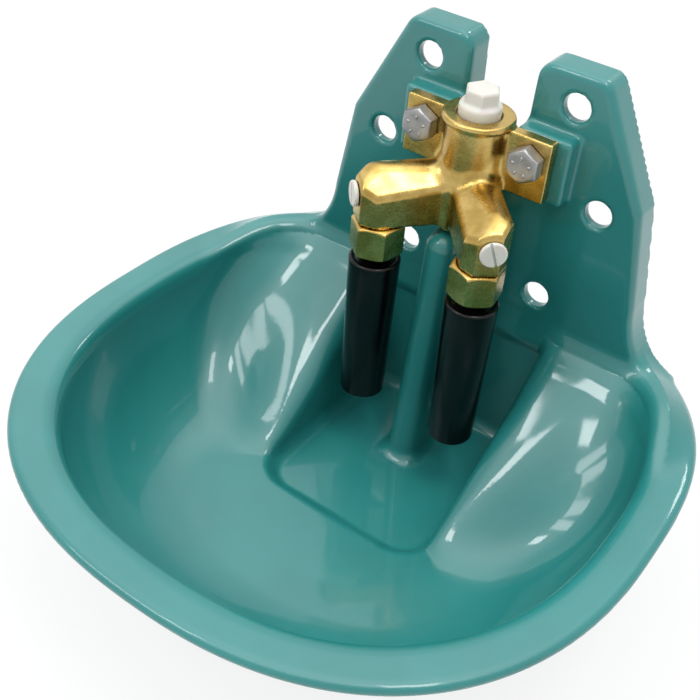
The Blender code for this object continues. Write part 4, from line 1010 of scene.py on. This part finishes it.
def white_surround(s):
    """World: white to the camera and in reflections, and a plain soft light that is weaker from below."""
    world = bpy.data.worlds.new("studio")
    world.use_nodes = True
    tree = world.node_tree
    back = tree.nodes["Background"]
    back.inputs["Color"].default_value = (1, 1, 1, 1)
    back.inputs["Strength"].default_value = 1.0
    toward = node(tree, "ShaderNodeTexCoord").outputs["Generated"]
    height = node(tree, "ShaderNodeSeparateXYZ", [("Vector", toward)]).outputs["Z"]
    total = soft_step(tree, height, From_Min=-0.25, From_Max=0.35, To_Min=s.low_level, To_Max=s.high_level)
    for aim, start, strength in WORLD_LOBES:
        near = node(
            tree, "ShaderNodeVectorMath", [(0, toward), (1, Vector(aim).normalized())], operation="DOT_PRODUCT"
        )
        total = maths(tree, "ADD", total, soft_step(tree, near.outputs["Value"], From_Min=start, To_Max=strength))
    path, direct = seen_directly(tree)
    soft = node(tree, "ShaderNodeBackground", [("Strength", maths(tree, "MAXIMUM", total, path["Is Glossy Ray"]))])
    mix = node(tree, "ShaderNodeMixShader", [(0, direct), (1, soft.outputs[0]), (2, back.outputs[0])])
    tree.links.new(mix.outputs[0], tree.nodes["World Output"].inputs["Surface"])
    return world


def white_floor(s):
    """Floor: nearly white to the camera and in reflections, with the object's soft shadow."""
    mesh = bpy.data.meshes.new("floor")
    level = BOWL_LOW.z - 0.0002
    mesh.from_pydata([(-4, -4, level), (4, -4, level), (4, 4, level), (-4, 4, level)], [], [(0, 1, 2, 3)])
    floor = link_object("floor", mesh)
    material, tree, shader = new_material("floor")
    for name, value in (("Base Color", (0.9, 0.9, 0.9, 1)), ("Roughness", 0.9), ("Specular IOR Level", 0.0)):
        shader.inputs[name].default_value = value
    glow = node(tree, "ShaderNodeEmission")
    path, direct = seen_directly(tree)
    share = maths(tree, "MULTIPLY", maths(tree, "MAXIMUM", direct, path["Is Glossy Ray"]), s.floor_glow)
    mix = node(tree, "ShaderNodeMixShader", [(0, share), (1, shader.outputs[0]), (2, glow.outputs[0])])
    tree.links.new(mix.outputs[0], tree.nodes["Material Output"].inputs["Surface"])
    floor.data.materials.append(material)
    return floor


def soft_box(name, toward, along, size, level):
    """Area lamp of this brightness, out in a direction, facing the object with its length along a line."""
    lamp = bpy.data.lights.new(name, "AREA")
    lamp.shape = "RECTANGLE"
    lamp.size, lamp.size_y = size
    lamp.energy = 4 * level * size[0] * size[1]
    obj = link_object(name, lamp)
    ray = Vector(toward).normalized()
    side = (Vector(along) - ray * ray.dot(Vector(along))).normalized()
    turn = Matrix((side, ray.cross(side), ray)).transposed().to_4x4()
    obj.matrix_world = Matrix.Translation(Vector((0, -0.1, 0)) + ray * LAMP_DISTANCE) @ turn
    return obj


LAMP_DISTANCE = 1.6

# Camera: place, view direction, and the turns that set its upright, in degrees
CAMERA_PLACE = (0.2108, -0.4547, 0.3572)
CAMERA_AHEAD = (-0.41848, 0.65029, -0.63403)
CAMERA_AZIMUTH, CAMERA_ROLL = 32.76, 5.21

# Broad soft lights of the surround: direction, cosine where it begins, strength
WORLD_LOBES = (
    ((0.00, 0.05, 1.00), 0.72, 2.1),
    ((-0.35, -0.50, 0.80), 0.82, 0.7),
    ((-0.32, 0.55, 0.76), 0.80, 0.8),
    ((-0.80, 0.25, 0.55), 0.85, 0.9),
)

# Lamps: direction, direction of the length, length and width in metres, brightness
LAMPS = {
    "upper_strip": ((-0.46, -0.51, 0.72), (-0.41, 0.18, -0.11), (0.60, 0.10), 6.0),
    "lower_strip": ((-0.49, -0.57, 0.66), (-0.31, 0.11, -0.11), (0.55, 0.09), 6.0),
    "front_patch": ((-0.30, -0.47, 0.83), (1, 0, 0), (0.20, 0.14), 12.0),
    "top_patch": ((0.30, -0.10, 0.95), (0.7, -0.7, 0), (0.55, 0.30), 7.0),
    "back_patch": ((0.12, 0.75, 0.65), (1, 0, 0), (0.24, 0.14), 10.0),
}


class DRINKER_OT_stage(bpy.types.Operator):
    """Lay the floor, set the lamps and aim the camera"""

    bl_idname = "drinker.stage"
    bl_label = "Stage"

    def execute(self, context):
        scene = context.scene
        s = scene.drinker_stage
        scene.view_settings.view_transform = "Standard"
        scene.world = white_surround(s)
        white_floor(s)
        for name, values in LAMPS.items():
            soft_box(name, *values)
        camera = bpy.data.cameras.new("camera")
        camera.lens = 56.0
        camera.sensor_width = 36.0
        view = link_object("camera", camera)
        azimuth, roll = math.radians(CAMERA_AZIMUTH), math.radians(CAMERA_ROLL)
        ahead = Vector(CAMERA_AHEAD).normalized()
        right = Vector((math.cos(azimuth), math.sin(azimuth), 0))
        up = right.cross(ahead)
        tilted = right * math.cos(roll) + up * math.sin(roll)
        upright = up * math.cos(roll) - right * math.sin(roll)
        turn = Matrix((tilted, upright, -ahead)).transposed().to_4x4()
        view.matrix_world = Matrix.Translation(CAMERA_PLACE) @ turn
        scene.camera = view
        return {"FINISHED"}


class DRINKER_PT_panel(bpy.types.Panel):
    """Buttons that build the drinker"""

    bl_label = "Livestock drinker"
    bl_idname = "DRINKER_PT_panel"
    bl_space_type = "VIEW_3D"
    bl_region_type = "UI"
    bl_category = "Drinker"

    def draw(self, context):
        for operator in OPERATORS:
            self.layout.operator(operator.bl_idname)


OPERATORS = (
    DRINKER_OT_finishes, DRINKER_OT_bowl, DRINKER_OT_valve, DRINKER_OT_tubes, DRINKER_OT_fasteners,
    DRINKER_OT_springs, DRINKER_OT_stage,
)
GROUPS = {
    "drinker_bowl": DrinkerBowlSettings, "drinker_valve": DrinkerValveSettings, "drinker_tubes": DrinkerTubeSettings,
    "drinker_stage": DrinkerStageSettings,
}


def register():
    for name, group in GROUPS.items():
        bpy.utils.register_class(group)
        setattr(bpy.types.Scene, name, PointerProperty(type=group))
    for operator in OPERATORS:
        bpy.utils.register_class(operator)
    bpy.utils.register_class(DRINKER_PT_panel)


def unregister():
    bpy.utils.unregister_class(DRINKER_PT_panel)
    for operator in reversed(OPERATORS):
        bpy.utils.unregister_class(operator)
    for name, group in GROUPS.items():
        delattr(bpy.types.Scene, name)
        bpy.utils.unregister_class(group)


def main():
    register()
    bpy.ops.drinker.finishes()
    bpy.ops.drinker.bowl()
    bpy.ops.drinker.valve()
    bpy.ops.drinker.tubes()
    bpy.ops.drinker.fasteners()
    bpy.ops.drinker.springs()
    bpy.ops.drinker.stage()


if __name__ == "__main__":
    main()
